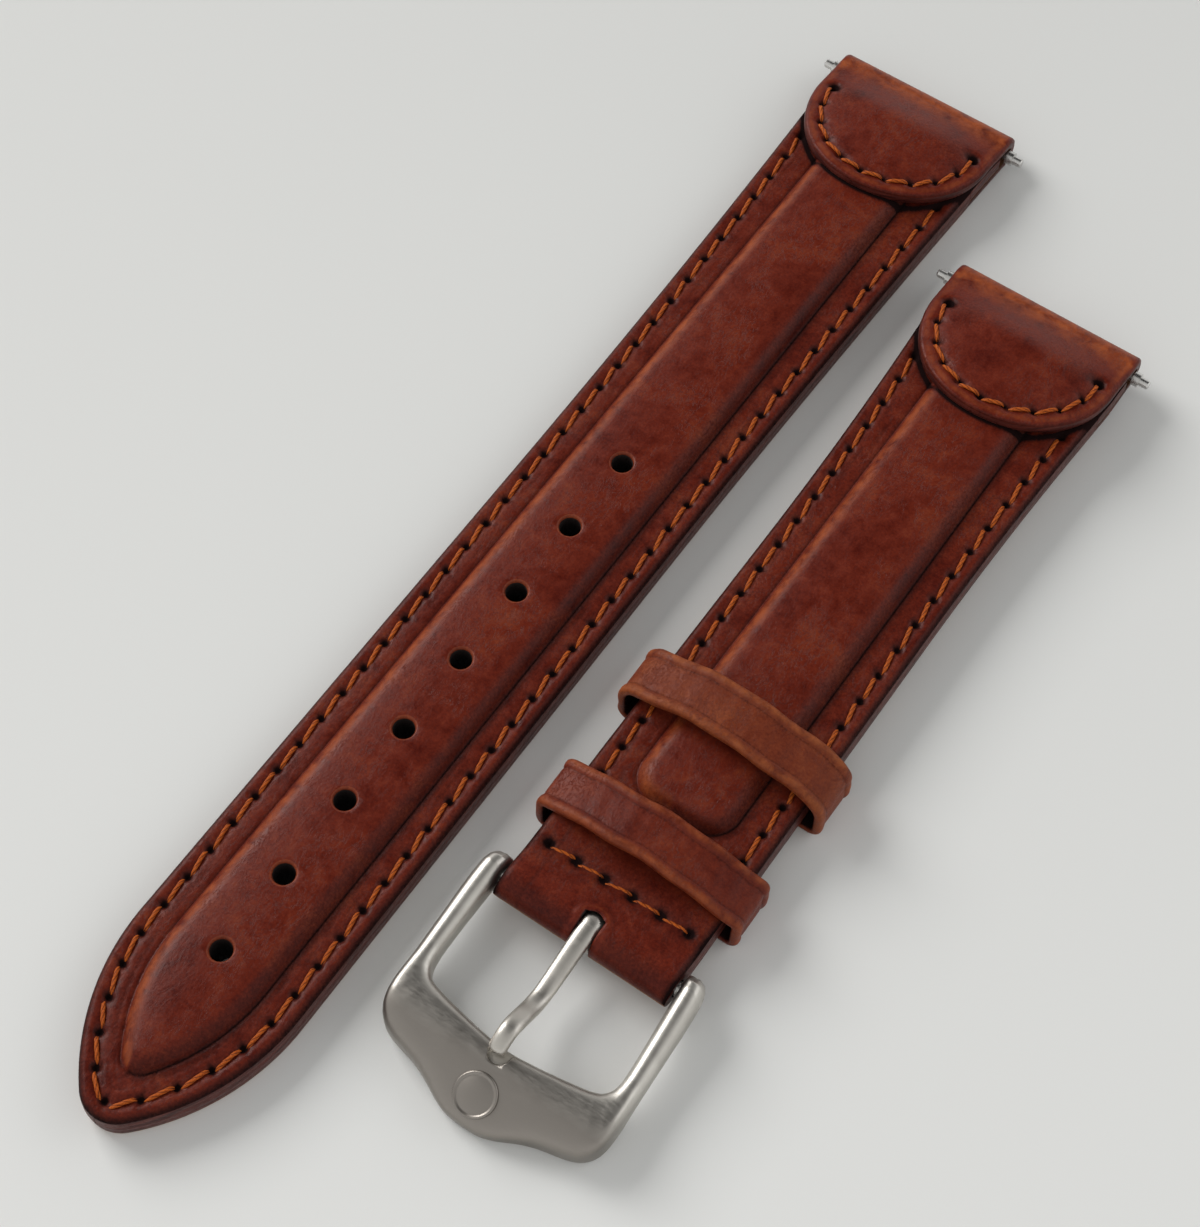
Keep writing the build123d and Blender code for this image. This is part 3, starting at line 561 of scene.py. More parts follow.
def tab_spots(half):
    spots = []
    for index in range(TAB_STITCHES):
        turn = math.pi * (index + 0.5) / TAB_STITCHES
        t, s = tab_reach * math.cos(turn), TAB_CENTRE + tab_reach * math.sin(turn)
        step = 0.05
        slope_t = (tab_height(s, t + step) - tab_height(s, t - step)) / (2 * step)
        slope_s = (tab_height(s + step, t) - tab_height(s - step, t)) / (2 * step)
        up = np.array([-slope_t, slope_s, 1.0])
        up = up / np.linalg.norm(up)
        ahead = np.array([-math.sin(turn), -math.cos(turn), 0.0])
        ahead = ahead - up * ahead.dot(up)
        spots.append((place(half, s, t, tab_height(s, t)), ahead, up))
    return spots


# Keepers
def arch(half_width, side_height, height, steps=110):
    """Outer outline of a keeper: points and outward normals, evenly spaced, all round."""
    bend = math.radians(23)
    share = math.tan(bend / 2)
    radius = (height - side_height - share * half_width) / (math.cos(bend) - share * (1 - math.sin(bend)))
    line = [(0.0, 0.0), (half_width - 1.2, 0.0)]
    for turn in np.linspace(-math.pi / 2, 0, 14)[1:]:
        line.append((half_width - 1.2 + 1.2 * math.cos(turn), 1.2 + 1.2 * math.sin(turn)))
    for turn in np.linspace(0, math.pi / 2 - bend, 14):
        line.append((half_width - radius + radius * math.cos(turn), side_height + radius * math.sin(turn)))
    crown = line[-1][0] / math.sin(bend)
    for turn in np.linspace(bend, 0, 40)[1:]:
        line.append((crown * math.sin(turn), height - crown + crown * math.cos(turn)))
    line = np.array(line)
    line = np.concatenate([line, np.stack([-line[-2:0:-1, 0], line[-2:0:-1, 1]], -1)])
    closed = np.concatenate([line, line[:1]])
    run = np.concatenate([[0], np.cumsum(np.hypot(*np.diff(closed, axis=0).T))])
    marks = np.linspace(0, run[-1], 2 * steps + 1)[:-1]
    points = np.stack([np.interp(marks, run, closed[:, i]) for i in range(2)], -1)
    ahead = np.roll(points, -1, 0) - np.roll(points, 1, 0)
    ahead /= np.linalg.norm(ahead, axis=1)[:, None]
    return points, np.stack([ahead[:, 1], -ahead[:, 0]], -1), marks


def keeper(name, start, length, half_width, side_height, height, foot, materials, seed):
    points, normals, marks = arch(half_width, side_height - foot, height - foot)
    rough = np.random.RandomState(seed)
    v = np.array([0, 0.03, 0.08, 0.16, 0.28, 0.42, 0.56, 0.68, 0.76, 0.84, 0.92, 1.02, 1.2, 1.5, 1.9])
    v = np.concatenate([v, [length / 2], length - v[::-1]])
    rim = np.minimum(v, length - v)
    outer = -fall(rim, 0.36) - 0.13 * ease((rim - 0.5) / 0.6) - 0.05 * bell(rim - 0.95, 0.12)
    inner_v = np.array([length, length - 0.15, length * 0.75, length * 0.5, length * 0.25, 0.15, 0])
    inner = -0.8 + fall(np.minimum(inner_v, length - inner_v), 0.2)
    section_v, section_h = np.concatenate([v, inner_v]), np.concatenate([outer, inner])
    outside = np.concatenate([np.ones(len(v)), np.zeros(len(inner_v))])
    round_way = marks / marks[-1] * 6.283
    wave = sum(rough.uniform(0.008, 0.02)
               * np.sin(round_way[:, None] * k + rough.uniform(0, 6)
                        + 1.3 * section_v[None, :] * rough.uniform(-1, 1)) for k in (3, 7, 11, 18, 29))
    height_now = section_h[None, :] + (wave - 0.03) * outside * np.clip(points[:, 1:] / 2, 0, 1)
    sway = 0.05 * sum(np.sin(round_way * k + rough.uniform(0, 6)) for k in (2, 5, 9))
    t = points[:, :1] + normals[:, :1] * height_now
    z = points[:, 1:] + normals[:, 1:] * height_now
    s = start + section_v[None, :] + (sway * np.clip(points[:, 1] / 3, 0, 1))[:, None]
    half = (SHORT[0], SHORT[1], foot)
    verts = place(half, s, t, z)
    edge = np.minimum(section_v, length - section_v)
    # Painted highlight round the rolled rims, painted shade in the groove behind them, and the inner face
    # darkened as painted shade.
    tone = 0.34 * bell(edge - 0.3, 0.35) - 0.42 * bell(edge - 0.95, 0.1) * outside
    tone = np.broadcast_to(tone - 1.2 * (1 - outside) * (edge > 0.1), t.shape)
    return mesh_object(name, verts.reshape(-1, 3), torus(*t.shape), materials, [0] * t.size,
                       tone.ravel(), 60)


# Materials
class Net:
    """Small helper that adds and links shader nodes."""

    def __init__(self, name):
        self.material = bpy.data.materials.new(name)
        self.material.use_nodes = True
        self.tree = self.material.node_tree
        self.tree.nodes.clear()
        out = self.tree.nodes.new("ShaderNodeOutputMaterial")
        self.shader = self.tree.nodes.new("ShaderNodeBsdfPrincipled")
        self.tree.links.new(self.shader.outputs[0], out.inputs[0])
        coords = self.tree.nodes.new("ShaderNodeTexCoord")
        self.mm = self.scaled(coords.outputs["Object"], (1000, 1000, 1000))

    def set(self, node, socket, value):
        if isinstance(value, bpy.types.NodeSocket):
            self.tree.links.new(value, node.inputs[socket])
        else:
            node.inputs[socket].default_value = value

    def surface(self, **values):
        """Sets inputs of the surface; an underscore stands for a space in their names."""
        for name, value in values.items():
            self.set(self.shader, name.replace("_", " "), value)
        return self.material

    def add(self, a, b):
        return self.math("ADD", a, b)

    def times(self, a, b):
        return self.math("MULTIPLY", a, b)

    def less(self, a, b):
        return self.math("SUBTRACT", a, b)

    def scaled(self, source, scale):
        node = self.tree.nodes.new("ShaderNodeMapping")
        self.set(node, "Vector", source)
        self.set(node, "Scale", scale)
        return node.outputs[0]

    def noise(self, scale, detail=4, rough=0.55, stretch=(1, 1, 1), warp=0.0):
        node = self.tree.nodes.new("ShaderNodeTexNoise")
        self.set(node, "Vector", self.scaled(self.mm, stretch))
        for key, value in (("Scale", scale), ("Detail", detail), ("Roughness", rough), ("Distortion", warp)):
            self.set(node, key, value)
        return node.outputs[0]

    def cells(self, scale, feature="F1", stretch=(1, 1, 1)):
        node = self.tree.nodes.new("ShaderNodeTexVoronoi")
        node.feature = feature
        self.set(node, "Vector", self.scaled(self.mm, stretch))
        self.set(node, "Scale", scale)
        return node.outputs["Distance"]

    def attribute(self, name):
        node = self.tree.nodes.new("ShaderNodeAttribute")
        node.attribute_name = name
        return node.outputs["Fac"]

    def math(self, kind, a, b=0.0):
        node = self.tree.nodes.new("ShaderNodeMath")
        node.operation = kind
        self.set(node, 0, a)
        self.set(node, 1, b)
        return node.outputs[0]

    def mix(self, factor, a, b):
        node = self.tree.nodes.new("ShaderNodeMix")
        node.data_type = "RGBA"
        self.set(node, 0, factor)
        self.set(node, 6, a if isinstance(a, bpy.types.NodeSocket) else (*a, 1))
        self.set(node, 7, b if isinstance(b, bpy.types.NodeSocket) else (*b, 1))
        return node.outputs[2]

    def span(self, factor, low, high, to_low=0.0, to_high=1.0):
        node = self.tree.nodes.new("ShaderNodeMapRange")
        for i, value in enumerate((factor, low, high, to_low, to_high)):
            self.set(node, i, value)
        return node.outputs[0]

    def bump(self, height, distance, strength=1.0, normal=None):
        node = self.tree.nodes.new("ShaderNodeBump")
        self.set(node, "Height", height)
        self.set(node, "Distance", distance * MM)
        self.set(node, "Strength", strength)
        if normal is not None:
            self.set(node, "Normal", normal)
        return node.outputs[0]


def leather(name, dark, main, light, painted_highlight, rough, grain=1.0, shine=0.2):
    """Waxed leather: mottled colour, fine pebbled grain and soft creases, with painted shade in the crease
    lines; the tone attribute paints highlights toward the lighter colour and shade toward near-black, among
    random dark specks.
    """
    net = Net(name)
    cloud = net.noise(0.16, 3, 0.5, warp=0.6)
    mottle = net.noise(0.75, 6, 0.62, warp=0.4)
    speck = net.noise(4.5, 6, 0.65)
    creases = net.noise(0.9, 5, 0.6, stretch=(1.9, 0.75, 1), warp=1.6)
    blend = net.add(net.add(net.times(cloud, 0.35), net.times(mottle, 0.35)), net.times(speck, 0.3))
    colour = net.mix(net.span(blend, 0.36, 0.52), dark, main)
    colour = net.mix(net.span(blend, 0.52, 0.68), colour, light)
    line = net.span(net.math("ABSOLUTE", net.less(creases, 0.5)), 0.0, 0.028, 1.0, 0.0)
    line = net.times(line, net.span(cloud, 0.42, 0.6))
    # Painted shade: the crease lines are darkened toward the dark colour.
    colour = net.mix(net.times(line, 0.45), colour, dark)
    tone = net.attribute("tone")
    # Painted highlight: where the tone rises (lit slopes, folds and rims), patches of the lighter colour.
    painted_light_mask = net.times(net.span(tone, 0.02, 0.6), net.span(mottle, 0.3, 0.62))
    colour = net.mix(painted_light_mask, colour, painted_highlight)
    # Painted shade: where the tone falls, the colour goes toward near-black, with random dark specks mixed
    # in.
    specks_and_painted_shade = net.span(net.add(tone, net.times(net.less(speck, 0.5), 0.5)), -0.12, -0.95)
    colour = net.mix(specks_and_painted_shade, colour, (0.012, 0.006, 0.006))
    normal = net.bump(net.cells(3.6, "SMOOTH_F1"), 0.05 * grain, 0.55)
    normal = net.bump(net.noise(8.0, 5, 0.65), 0.045 * grain, 0.6, normal)
    normal = net.bump(creases, 0.14 * grain, 0.5, normal)
    normal = net.bump(net.less(1.0, line), 0.06 * grain, 0.6, normal)
    return net.surface(Base_Color=colour, Roughness=net.span(mottle, 0.3, 0.7, rough - 0.07, rough + 0.1),
                       Specular_IOR_Level=net.times(net.less(1.0, specks_and_painted_shade), 0.16),
                       Coat_Weight=shine, Coat_Roughness=0.38, Normal=normal)


def painted_edge():
    net = Net("painted edge")
    layer = net.noise(0.9, 4, 0.6, stretch=(0.4, 0.4, 3.5))
    colour = net.mix(net.span(layer, 0.35, 0.68), (0.03, 0.006, 0.005), (0.11, 0.022, 0.015))
    return net.surface(Base_Color=colour, Roughness=net.span(net.noise(2.5, 4), 0.3, 0.7, 0.32, 0.5),
                       Specular_IOR_Level=0.22,
                       Normal=net.bump(net.noise(2.2, 5, 0.6, stretch=(1, 1, 1.5)), 0.08, 0.6))


def twisted_thread():
    net = Net("waxed thread")
    tone = net.attribute("tone")
    fuzz = net.noise(7.0, 5, 0.65)
    colour = net.mix(net.span(fuzz, 0.3, 0.7), (0.27, 0.046, 0.007), (0.56, 0.13, 0.017))
    # Painted shade: the tone turns the ply grooves and the stitch ends near-black.
    colour = net.mix(net.span(tone, -0.1, -0.9), colour, (0.05, 0.008, 0.003))
    return net.surface(Base_Color=colour, Roughness=net.span(fuzz, 0.3, 0.7, 0.45, 0.62),
                       Specular_IOR_Level=0.12, Normal=net.bump(net.noise(11.0, 4, 0.6), 0.03, 0.7))


def steel(name, bright, dim, rough, streak, painted_front_shade=None):
    net = Net(name)
    brushed = net.noise(2.2, 6, 0.7, stretch=streak)
    smudge = net.noise(0.35, 3, 0.5, warp=0.5)
    colour = net.mix(net.span(smudge, 0.35, 0.65), bright, dim)
    if painted_front_shade is not None:
        # Darker colour over the bar at the buckle's tip: painted dark reflection.
        split = net.tree.nodes.new("ShaderNodeSeparateXYZ")
        net.set(split, 0, net.mm)
        painted_light_mask = net.add(split.outputs[1], net.times(smudge, 1.5))
        colour = net.mix(net.span(painted_light_mask, -35.2, -38.8), colour, painted_front_shade)
    return net.surface(Base_Color=colour, Metallic=1.0, Normal=net.bump(brushed, 0.012, 0.35),
                       Roughness=net.span(brushed, 0.3, 0.7, rough - 0.06, rough + 0.07))


def painted_shade_hole_wall():
    net = Net("hole wall")
    # Near-black walls: painted shade inside the holes and the bore.
    colour = net.mix(net.noise(3.0, 4), (0.006, 0.004, 0.004), (0.02, 0.009, 0.007))
    return net.surface(Base_Color=colour, Roughness=net.span(net.noise(5.0, 3), 0.3, 0.7, 0.6, 0.8))


top = leather("chestnut leather", (0.062, 0.0055, 0.003), (0.132, 0.0155, 0.006), (0.205, 0.036, 0.012),
              (0.33, 0.075, 0.02), 0.36, 0.4, 0.0)
lining_leather = leather("lining leather", (0.16, 0.07, 0.035), (0.26, 0.12, 0.06), (0.33, 0.17, 0.09),
                         (0.36, 0.2, 0.11), 0.6, 0.6, 0.0)
ring_leather = leather("keeper leather", (0.09, 0.012, 0.005), (0.17, 0.031, 0.01), (0.26, 0.062, 0.019),
                       (0.38, 0.11, 0.032), 0.46, 0.7, 0.0)
fixed_leather = leather("fixed keeper leather", (0.065, 0.007, 0.004), (0.135, 0.018, 0.007),
                        (0.2, 0.036, 0.013), (0.34, 0.085, 0.024), 0.4, 0.5, 0.0)
edge_paint = painted_edge()
hole_wall = painted_shade_hole_wall()
thread_look = twisted_thread()
hole_rim = leather("hole rim leather", (0.09, 0.012, 0.006), (0.2, 0.035, 0.011), (0.28, 0.06, 0.018),
                   (0.3, 0.07, 0.02), 0.4, 0.5, 0.1)
leather_set = [top, edge_paint, lining_leather, hole_wall]

# Tail half
leg_steps = np.concatenate([np.arange(1.2, 6.0, 0.3), [6.03, 6.05]])
tail_s = np.concatenate([leg_steps, np.arange(6.2, ARC_START, 0.2), np.arange(ARC_START, TIP_S, 0.18),
                         TIP_S + TIP_RADIUS * np.sin(np.linspace(0.02, math.radians(89.2), 44))])
tail_strap = strap("tail_strap", TAIL, tail_s, tail_width, tail_edge, tail_pad, tail_seam,
                   under_tab, lambda s: np.where(s < LEG_END, OVER_LEG, 0.0), None, leather_set)
profile = [(0.9, -1), (0.9, 3.8), (0.91, 4.0), (0.95, 4.12), (1.02, 4.19), (1.14, 4.25), (1.14, 5.2)]
holes = [lathe(f"cutter_{i}", TAIL, HOLE_START + HOLE_PITCH * i, 0, profile, [hole_wall, hole_rim],
               [0, 0, 1, 1, 1, 1]) for i in range(HOLE_COUNT)]
cut(tail_strap, holes)
tail_tab = tab("tail_tab", TAIL, tail_width, tail_pad, leather_set)
tail_thread = thread("tail_thread", side_spots(TAIL, tail_seam), thread_look, 2.3)
tail_tab_thread = thread("tail_tab_thread", tab_spots(TAIL), thread_look, 2.05)

# Short half
short_s = np.concatenate([leg_steps, np.arange(6.2, 61.5, 0.2),
                          [61.6, 61.65, 61.7], np.arange(61.9, SHORT_LENGTH, 0.16),
                          SHORT_LENGTH + LOOP * np.sin(np.linspace(0, math.radians(89), 22))])


def short_top(s):
    return np.where(s < 3, under_tab(s), short_end(s))


def short_bottom(s):
    nose = LOOP - np.sqrt(np.maximum(LOOP**2 - np.clip(s - SHORT_LENGTH, 0, LOOP)**2, 0))
    groove = 0.12 * bell(s - 61.65, 0.06)
    return np.where(s < LEG_END, OVER_LEG, np.where(s > SHORT_LENGTH, nose, groove))


def buckle_end_relief(s, t):
    height, tone = cross_relief(s, t)
    rim = slot_distance(s, t)
    behind = ease((68.6 - s) / 1.2)
    height = height + (0.14 * bell(rim - 0.32, 0.26) - 0.03 * bell(rim - 0.85, 0.2)) * behind
    # Painted shade in the crease round the slot; also darker at the slot's rim and lighter on the bulge round
    # it.
    tone = tone - 0.15 * bell(rim - 0.85, 0.16) * behind - 0.6 * bell(rim, 0.12) + 0.35 * bell(rim - 0.4, 0.2)
    tone = tone - 0.25 * ease((s - 67.5) / 1.2)
    return height, tone


short_strap = strap("short_strap", SHORT, short_s, short_width, short_edge, short_pad, short_seam,
                    short_top, short_bottom, buckle_end_relief, leather_set)
beyond = 71.5
slot_round = [(SLOT_START - SLOT_HALF * math.sin(a), SLOT_HALF * math.cos(a))
              for a in np.linspace(0, math.pi, 21)]
outline = [(beyond, SLOT_HALF)] + slot_round + [(beyond, -SLOT_HALF)]
cut(short_strap, [prism("cutter_slot", outline, -1, 6, SHORT, [edge_paint]),
                  rod("cutter_room", SHORT, SHORT_LENGTH, LOOP, 1.84, SLOT_HALF, [hole_wall]),
                  rod("cutter_bore", SHORT, SHORT_LENGTH, LOOP, BORE, 12, [hole_wall])])
short_tab = tab("short_tab", SHORT, short_width, short_pad, leather_set)
short_thread = thread("short_thread", side_spots(SHORT, short_seam), thread_look, 2.3)
short_tab_thread = thread("short_tab_thread", tab_spots(SHORT), thread_look, 2.05)
cross_spots = [(place(SHORT, CROSS_S, (i + 0.5) * cross_step - CROSS_HALF, FLANGE - 0.2),
                np.array([1.0, 0, 0]), np.array([0, 0, 1.0])) for i in range(CROSS_COUNT)]
short_cross_thread = thread("short_cross_thread", cross_spots, thread_look, 2.35)

# Keepers
sliding_ring = keeper("sliding_ring", 46.1, 4.75, 9.65, 3.3, 7.1, 0.0, [ring_leather], 3)
fixed_ring = keeper("fixed_ring", 57.7, 4.6, 9.45, 3.4, 6.25, 0.06, [fixed_leather], 5)

for piece, body, slot, nodes in (
        (tail_strap, "tail_half", "top_leather",
         ["tail_top_leather", "tail_padding", "tail_stiffener", "tail_lining"]),
        (tail_tab, "tail_half", "top_leather", ["tail_lug_tab"]),
        (tail_thread, "tail_half", "thread", ["tail_side_seam"]),
        (tail_tab_thread, "tail_half", "thread", ["tail_tab_seam"]),
        (short_strap, "short_half", "top_leather",
         ["short_top_leather", "short_padding", "short_stiffener", "short_lining"]),
        (short_tab, "short_half", "top_leather", ["short_lug_tab"]),
        (short_thread, "short_half", "thread", ["short_side_seam"]),
        (short_tab_thread, "short_half", "thread", ["short_tab_seam"]),
        (short_cross_thread, "short_half", "thread", ["short_cross_seam"]),
        (fixed_ring, "short_half", "keeper_leather", ["fixed_keeper"]),
        (sliding_ring, "keeper_ring", "keeper_leather", ["sliding_keeper"])):
    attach(piece, body)
    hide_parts(*nodes)

# Steel
satin = steel("satin steel", (0.6, 0.57, 0.525), (0.5, 0.475, 0.435), 0.38, (0.5, 2.2, 2.2))
frame_steel = steel("frame steel", (0.62, 0.595, 0.55), (0.54, 0.515, 0.475), 0.38, (0.5, 2.2, 2.2),
                    (0.29, 0.265, 0.24))
turned = steel("turned steel", (0.7, 0.69, 0.67), (0.56, 0.55, 0.53), 0.27, (5, 0.4, 0.4))
for name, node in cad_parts.items():
    if "_bar_" in name:
        for held in node.material_slots:
            held.material = turned


def smooth_line(points, count):
    """Evenly spaced points on a smooth curve through the given ones."""
    points = np.array(points, float)
    padded = np.concatenate([[2 * points[0] - points[1]], points, [2 * points[-1] - points[-2]]])
    fine = []
    for i in range(len(points) - 1):
        a, b, c, d = padded[i:i + 4]
        for u in np.linspace(0, 1, 24, endpoint=False):
            fine.append(0.5 * (2 * b + (c - a) * u + (2 * a - 5 * b + 4 * c - d) * u**2
                               + (3 * b - a - 3 * c + d) * u**3))
    fine = np.array(fine + [points[-1]])
    run = np.concatenate([[0], np.cumsum(np.linalg.norm(np.diff(fine, axis=0), axis=1))])
    marks = np.linspace(0, run[-1], count)
    return np.stack([np.interp(marks, run, fine[:, i]) for i in range(fine.shape[1])], -1)


# Buckle frame: half outlines as (across, reach from the bar)
outer_side = [(8.9, -1.55), (9.5, -1.3), (9.9, -0.75), (10.1, 0.2), (10.2, 2.0), (10.22, 5.0),
              (10.22, 9.0), (10.2, 11.2), (10.03, 12.8), (9.6, 13.85), (8.9, 14.55), (8.0, 14.95),
              (6.9, 15.22), (5.7, 15.5), (4.6, 15.88), (3.7, 16.3), (2.7, 16.78), (1.5, 17.18), (0.0, 17.3)]
inner_side = [(8.15, -1.35), (8.1, -0.9), (8.1, -0.4), (8.12, 0.4), (8.18, 2.0), (8.3, 4.5), (8.4, 7.4),
              (8.36, 8.7), (8.15, 9.4), (7.75, 9.9), (7.1, 10.2), (6.3, 10.4), (5.5, 10.56), (4.6, 10.72),
              (3.7, 10.87), (2.9, 11.0), (2.1, 11.1), (1.1, 11.22), (0.0, 11.3)]
FINE, HALF_COUNT = 2000, 120
FRAME_LEAN = 0.03


def mirrored(side):
    """Whole outline from its half, with the given points at even shares of the count."""
    line = smooth_line(side, FINE)
    at_points = [np.argmin(np.hypot(*(line - p).T)) / (FINE - 1) for p in side]
    shares = np.interp(np.linspace(0, 1, HALF_COUNT), np.linspace(0, 1, len(side)), at_points)
    half = np.stack([np.interp(shares, np.linspace(0, 1, FINE), line[:, i]) for i in range(2)], -1)
    return np.concatenate([half, (half * np.array([-1, 1]))[-2::-1]])


def squared(turn, power):
    """Across and upward parts of a round section that is drawn toward a box."""
    return [np.sign(part) * np.abs(part)**power for part in (np.cos(turn), np.sin(turn))]


def frame_top(reach):
    """Height of the frame's crest above the table."""
    return np.interp(reach, [-1.5, -1.2, -0.7, 0, 2, 5, 8, 10, 11.3, 12.3, 13.5, 15, 16.2, 17.3],
                     [2.6, 3.42, 3.85, 4.02, 3.9, 3.6, 3.45, 3.6, 3.76, 3.74, 3.45, 2.8, 2.2, 1.6])


def frame_foot(reach):
    return np.interp(reach, [-1.5, -1.2, -0.7, 0, 2, 5, 8, 11, 13, 17.3],
                     [2.5, 1.66, 1.24, 1.08, 1.1, 1.14, 0.95, 0.35, 0.04, 0.0])


section = np.linspace(0, 2 * math.pi, 44, endpoint=False)
rings = []
for outer_point, inner_point in zip(mirrored(outer_side), mirrored(inner_side)):
    across, upward = squared(section, np.interp(outer_point[1], [9, 13.5], [0.8, 0.42]))
    share = (across + 1) / 2
    t = inner_point[0] + (outer_point[0] - inner_point[0]) * share
    reach = inner_point[1] + (outer_point[1] - inner_point[1]) * share
    high, low = frame_top(reach), frame_foot(reach)
    wide = np.hypot(*(outer_point - inner_point))
    dome = 0.16 * np.clip(3.2 / wide, 0, 1) * across**2
    middle = (high + low) / 2
    z = np.where(upward > 0, middle + (high - middle - dome) * upward, middle + (middle - low) * upward)
    rings.append(place(BUCKLE, reach, t + FRAME_LEAN * np.maximum(reach, 0), z))
steel_frame = skin("steel_frame", np.array(rings), frame_steel)
# Seat for the tongue's tip, and the eyes for the bar
seat, seat_half, seat_t = 11.9, 0.9, 0.25
seat_round = [(seat + seat_half * math.sin(a), seat_t + seat_half * math.cos(a))
              for a in np.linspace(0.1, math.pi - 0.1, 16)]
notch = prism("cutter_notch", [(10.5, 1.15), (seat, 1.15)] + seat_round + [(seat, -0.65), (10.5, -0.65)],
              3.14, 6, BUCKLE, [satin])
eyes = rod("cutter_eyes", BUCKLE, 0, BAR_HEIGHT, 0.45, 12, [satin])
cut(steel_frame, [notch, eyes])

# Plain disc on the frame's point
tilt = math.atan2(2.15, 4.9)
disc_rings = []
for radius, lift in ((0.02, 0.05), (1.3, 0.05), (1.4, 0.01), (1.48, 0.01), (1.57, 0.1), (1.66, 0.12),
                     (1.74, 0.07), (1.78, -0.05), (1.78, -0.6)):
    around = np.linspace(0, 2 * math.pi, 56, endpoint=False)
    t, up = radius * np.cos(around), radius * np.sin(around)
    t, reach = t + 0.45, 15.3 - up * math.cos(tilt) + lift * math.sin(tilt)
    z = 2.74 + up * math.sin(tilt) + lift * math.cos(tilt)
    disc_rings.append(place(BUCKLE, reach, t, z))
plain_disc = skin("plain_disc", np.array(disc_rings), frame_steel)

# Tongue: round wire waved from its eye to its seat
wave_line = smooth_line([(-1.07, 2.7), (-0.93, 3.08), (-0.55, 3.47), (0.0, 3.63), (1.5, 3.55),
                         (3.2, 3.25), (5.0, 2.9), (6.3, 2.8), (7.5, 3.1), (8.8, 3.85), (9.9, 4.42),
                         (10.7, 4.5), (11.5, 4.17), (12.1, 3.7)], 110)
ROUNDED_FROM = 0.965
ahead = np.gradient(wave_line, axis=0)
ahead /= np.linalg.norm(ahead, axis=1)[:, None]
rings = []
wire_turn = np.linspace(0, 2 * math.pi, 28, endpoint=False)
side, up = squared(wire_turn, 0.85)
for share, point, way in zip(np.linspace(0, 1, len(wave_line)), wave_line, ahead):
    past = max(0.0, (share - ROUNDED_FROM) / (1 - ROUNDED_FROM))
    size = max(0.06, math.sqrt(max(0.0, 1 - past**2)))
    broad = np.interp(share, [0, 0.2, 0.55, 0.8, 1], [0.84, 0.83, 0.76, 0.78, 0.72]) * size
    tall = np.interp(share, [0, 0.3, 0.6, 1], [0.54, 0.55, 0.52, 0.5]) * size
    rings.append(place(BUCKLE, point[0] - way[1] * tall * up, broad * side,
                       point[1] + way[0] * tall * up))
steel_tongue = skin("steel_tongue", np.array(rings), satin)
bar_turn = np.linspace(0, 2 * math.pi, 49)[:-1]
eye_rings = []
for angle in wire_turn:
    reach = 1.18 + 0.38 * math.cos(angle)
    t = 0.84 * np.sign(math.sin(angle)) * abs(math.sin(angle))**0.5
    eye_rings.append(place((*BUCKLE[:2], BAR_HEIGHT), reach * np.cos(bar_turn), t, reach * np.sin(bar_turn)))
tongue_eye = skin("tongue_eye", np.array(eye_rings), satin, torus(len(wire_turn), len(bar_turn)))
for piece, body in ((steel_frame, "frame_body"), (plain_disc, "frame_body"),
                    (steel_tongue, "tongue_body"), (tongue_eye, "tongue_body")):
    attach(piece, body)
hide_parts("buckle_frame")
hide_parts("buckle_tongue")

# Table, light and camera
floor = Net("table")
tint = floor.noise(0.012, 3, 0.5)
span = floor.tree.nodes.new("ShaderNodeSeparateXYZ")
floor.set(span, 0, floor.mm)
# Floor paler away from the key lamp: painted light that evens out the lamp's falloff, with a faint tint
# noise.
slope = floor.less(span.outputs[0], span.outputs[1])
near = floor.span(floor.add(slope, floor.times(tint, 20.0)), -100.0, 130.0)
floor.surface(Base_Color=floor.mix(near, (0.66, 0.665, 0.655), (0.86, 0.865, 0.855)), Roughness=0.7,
              Specular_IOR_Level=0.1, Normal=floor.bump(floor.noise(1.5, 4), 0.01, 0.2))
length = floor.tree.nodes.new("ShaderNodeVectorMath")
length.operation = "LENGTH"
floor.set(length, 0, floor.mm)
far = floor.times(floor.span(length.outputs["Value"], 170.0, 420.0),
                  floor.tree.nodes.new("ShaderNodeLightPath").outputs["Is Camera Ray"])
backdrop = floor.tree.nodes.new("ShaderNodeEmission")
backdrop.inputs[0].default_value = (0.66, 0.66, 0.65, 1)
blend_in = floor.tree.nodes.new("ShaderNodeMixShader")
floor.set(blend_in, 0, far)
floor.set(blend_in, 1, floor.shader.outputs[0])
floor.set(blend_in, 2, backdrop.outputs[0])
floor.set(floor.tree.nodes["Material Output"], 0, blend_in.outputs[0])
mesh = bpy.data.meshes.new("table_top")
far_out, below = 2, -0.00002
mesh.from_pydata([(x, y, below) for x, y in ((-far_out, -far_out), (far_out, -far_out),
                                             (far_out, far_out), (-far_out, far_out))], [], [(0, 1, 2, 3)])
mesh.materials.append(floor.material)
table_top = bpy.data.objects.new("table_top", mesh)
bpy.context.scene.collection.objects.link(table_top)

world = bpy.data.worlds.new("studio")
world.use_nodes = True
sky = world.node_tree
ways = sky.nodes.new("ShaderNodeTexCoord")
parts = sky.nodes.new("ShaderNodeSeparateXYZ")
sky.links.new(ways.outputs["Generated"], parts.inputs[0])


def sky_range(source, low, high, to_low, to_high):
    node = sky.nodes.new("ShaderNodeMapRange")
    node.interpolation_type = "SMOOTHSTEP"
    sky.links.new(source, node.inputs["Value"])
    for socket, value in (("From Min", low), ("From Max", high), ("To Min", to_low), ("To Max", to_high)):
        node.inputs[socket].default_value = value
    return node.outputs[0]


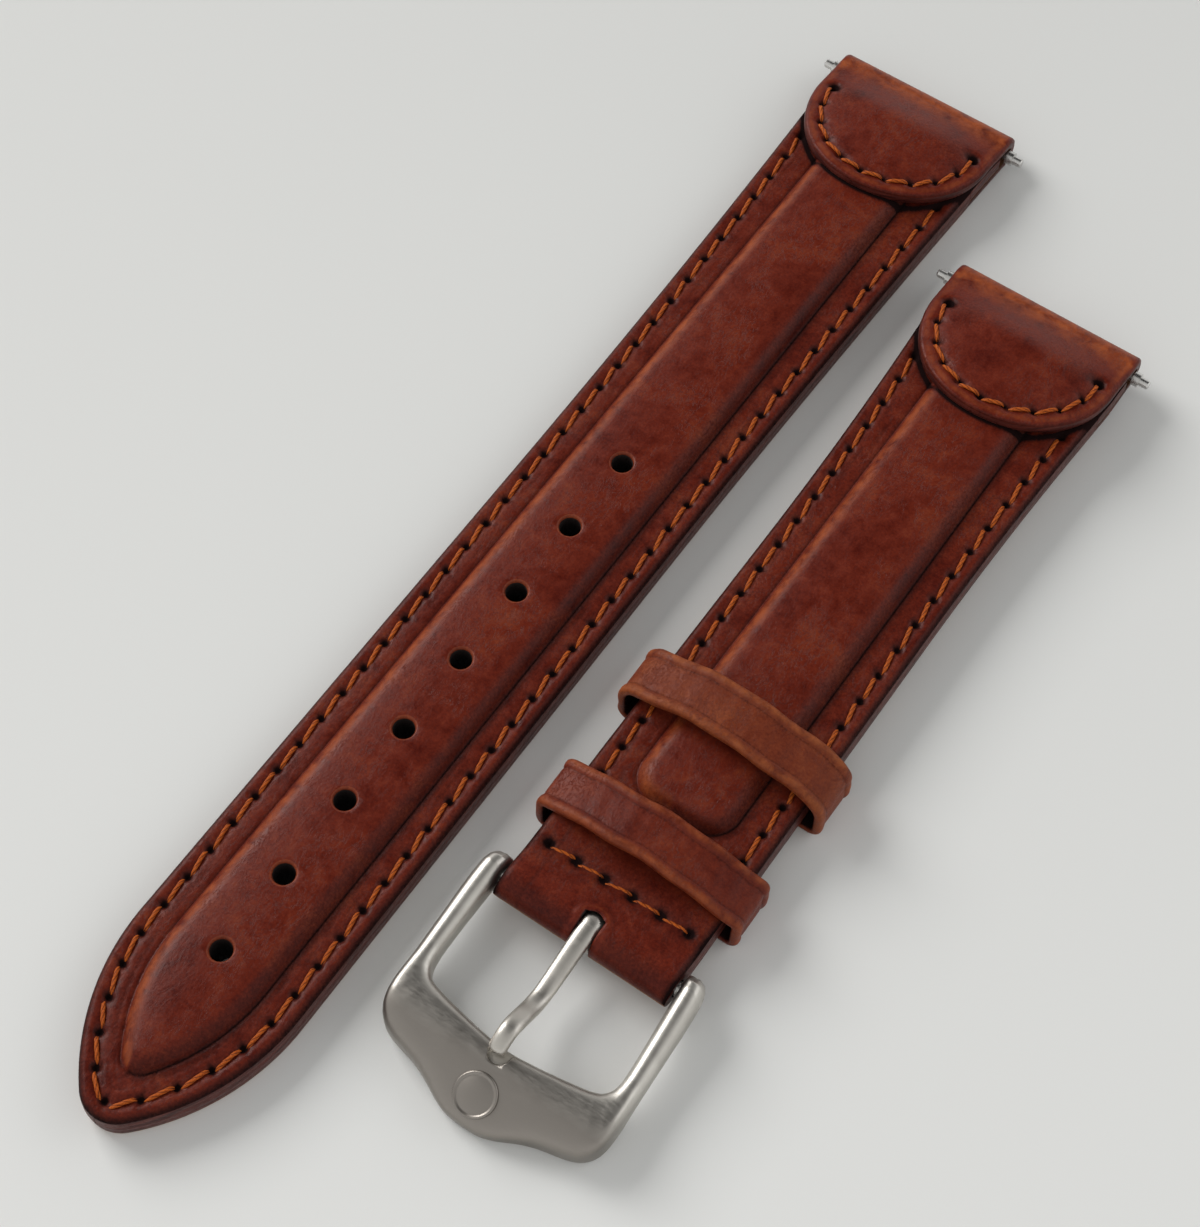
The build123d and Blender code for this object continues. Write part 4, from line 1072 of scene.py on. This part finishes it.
def sky_math(kind, a, b):
    node = sky.nodes.new("ShaderNodeMath")
    node.operation = kind
    for i, value in enumerate((a, b)):
        if isinstance(value, bpy.types.NodeSocket):
            sky.links.new(value, node.inputs[i])
        else:
            node.inputs[i].default_value = value
    return node.outputs[0]


# Pale all round, with a dark ceiling patch on the side away from the viewer
patch = sky.nodes.new("ShaderNodeVectorMath")
patch.operation = "DOT_PRODUCT"
sky.links.new(ways.outputs["Generated"], patch.inputs[0])
patch.inputs[1].default_value = (-0.25, 0.42, 0.872)
pale = sky_math("MULTIPLY", sky_range(parts.outputs["Z"], 0.2, 0.85, 0.85, 0.6),
                sky_range(patch.outputs["Value"], 0.74, 0.95, 1.0, 0.06))
seen = sky.nodes.new("ShaderNodeLightPath").outputs["Is Camera Ray"]
level = sky_math("ADD", sky_math("MULTIPLY", pale, sky_math("SUBTRACT", 1.0, seen)),
                 sky_math("MULTIPLY", seen, 0.66))
sky.nodes["Background"].inputs[0].default_value = (1.0, 1.0, 0.985, 1)
sky.links.new(level, sky.nodes["Background"].inputs[1])
bpy.context.scene.world = world


def lamp(name, spot, size, power, colour):
    """Area lamp that faces the middle of the table."""
    data = bpy.data.lights.new(name, "AREA")
    data.shape = "RECTANGLE"
    data.size, data.size_y = size
    data.energy = power
    data.color = colour
    light = bpy.data.objects.new(name, data)
    light.location = spot
    light.rotation_euler = Vector(spot).to_track_quat("Z", "Y").to_euler()
    bpy.context.scene.collection.objects.link(light)


lamp("key", (-0.62, 0.1, 0.42), (0.42, 0.42), 3.8, (1.0, 0.99, 0.97))
lamp("back", (0.45, 0.42, 0.36), (0.5, 0.3), 0.4, (0.97, 0.98, 1.0))

view = bpy.data.cameras.new("camera")
view.sensor_fit = "VERTICAL"
view.sensor_height = 36
view.lens = 71.9
view.clip_start = 0.01
camera = bpy.data.objects.new("camera", view)
eye, aim = Vector((0.05067, -0.08269, 0.17593)), Vector((-0.0053, -0.00223, 0))
turn = (eye - aim).to_track_quat("Z", "Y").to_matrix().to_4x4()
camera.matrix_world = Matrix.Translation(eye) @ turn @ Matrix.Rotation(math.radians(0.167), 4, "Z")
bpy.context.scene.collection.objects.link(camera)
bpy.context.scene.camera = camera
bpy.context.scene.view_settings.view_transform = "Standard"
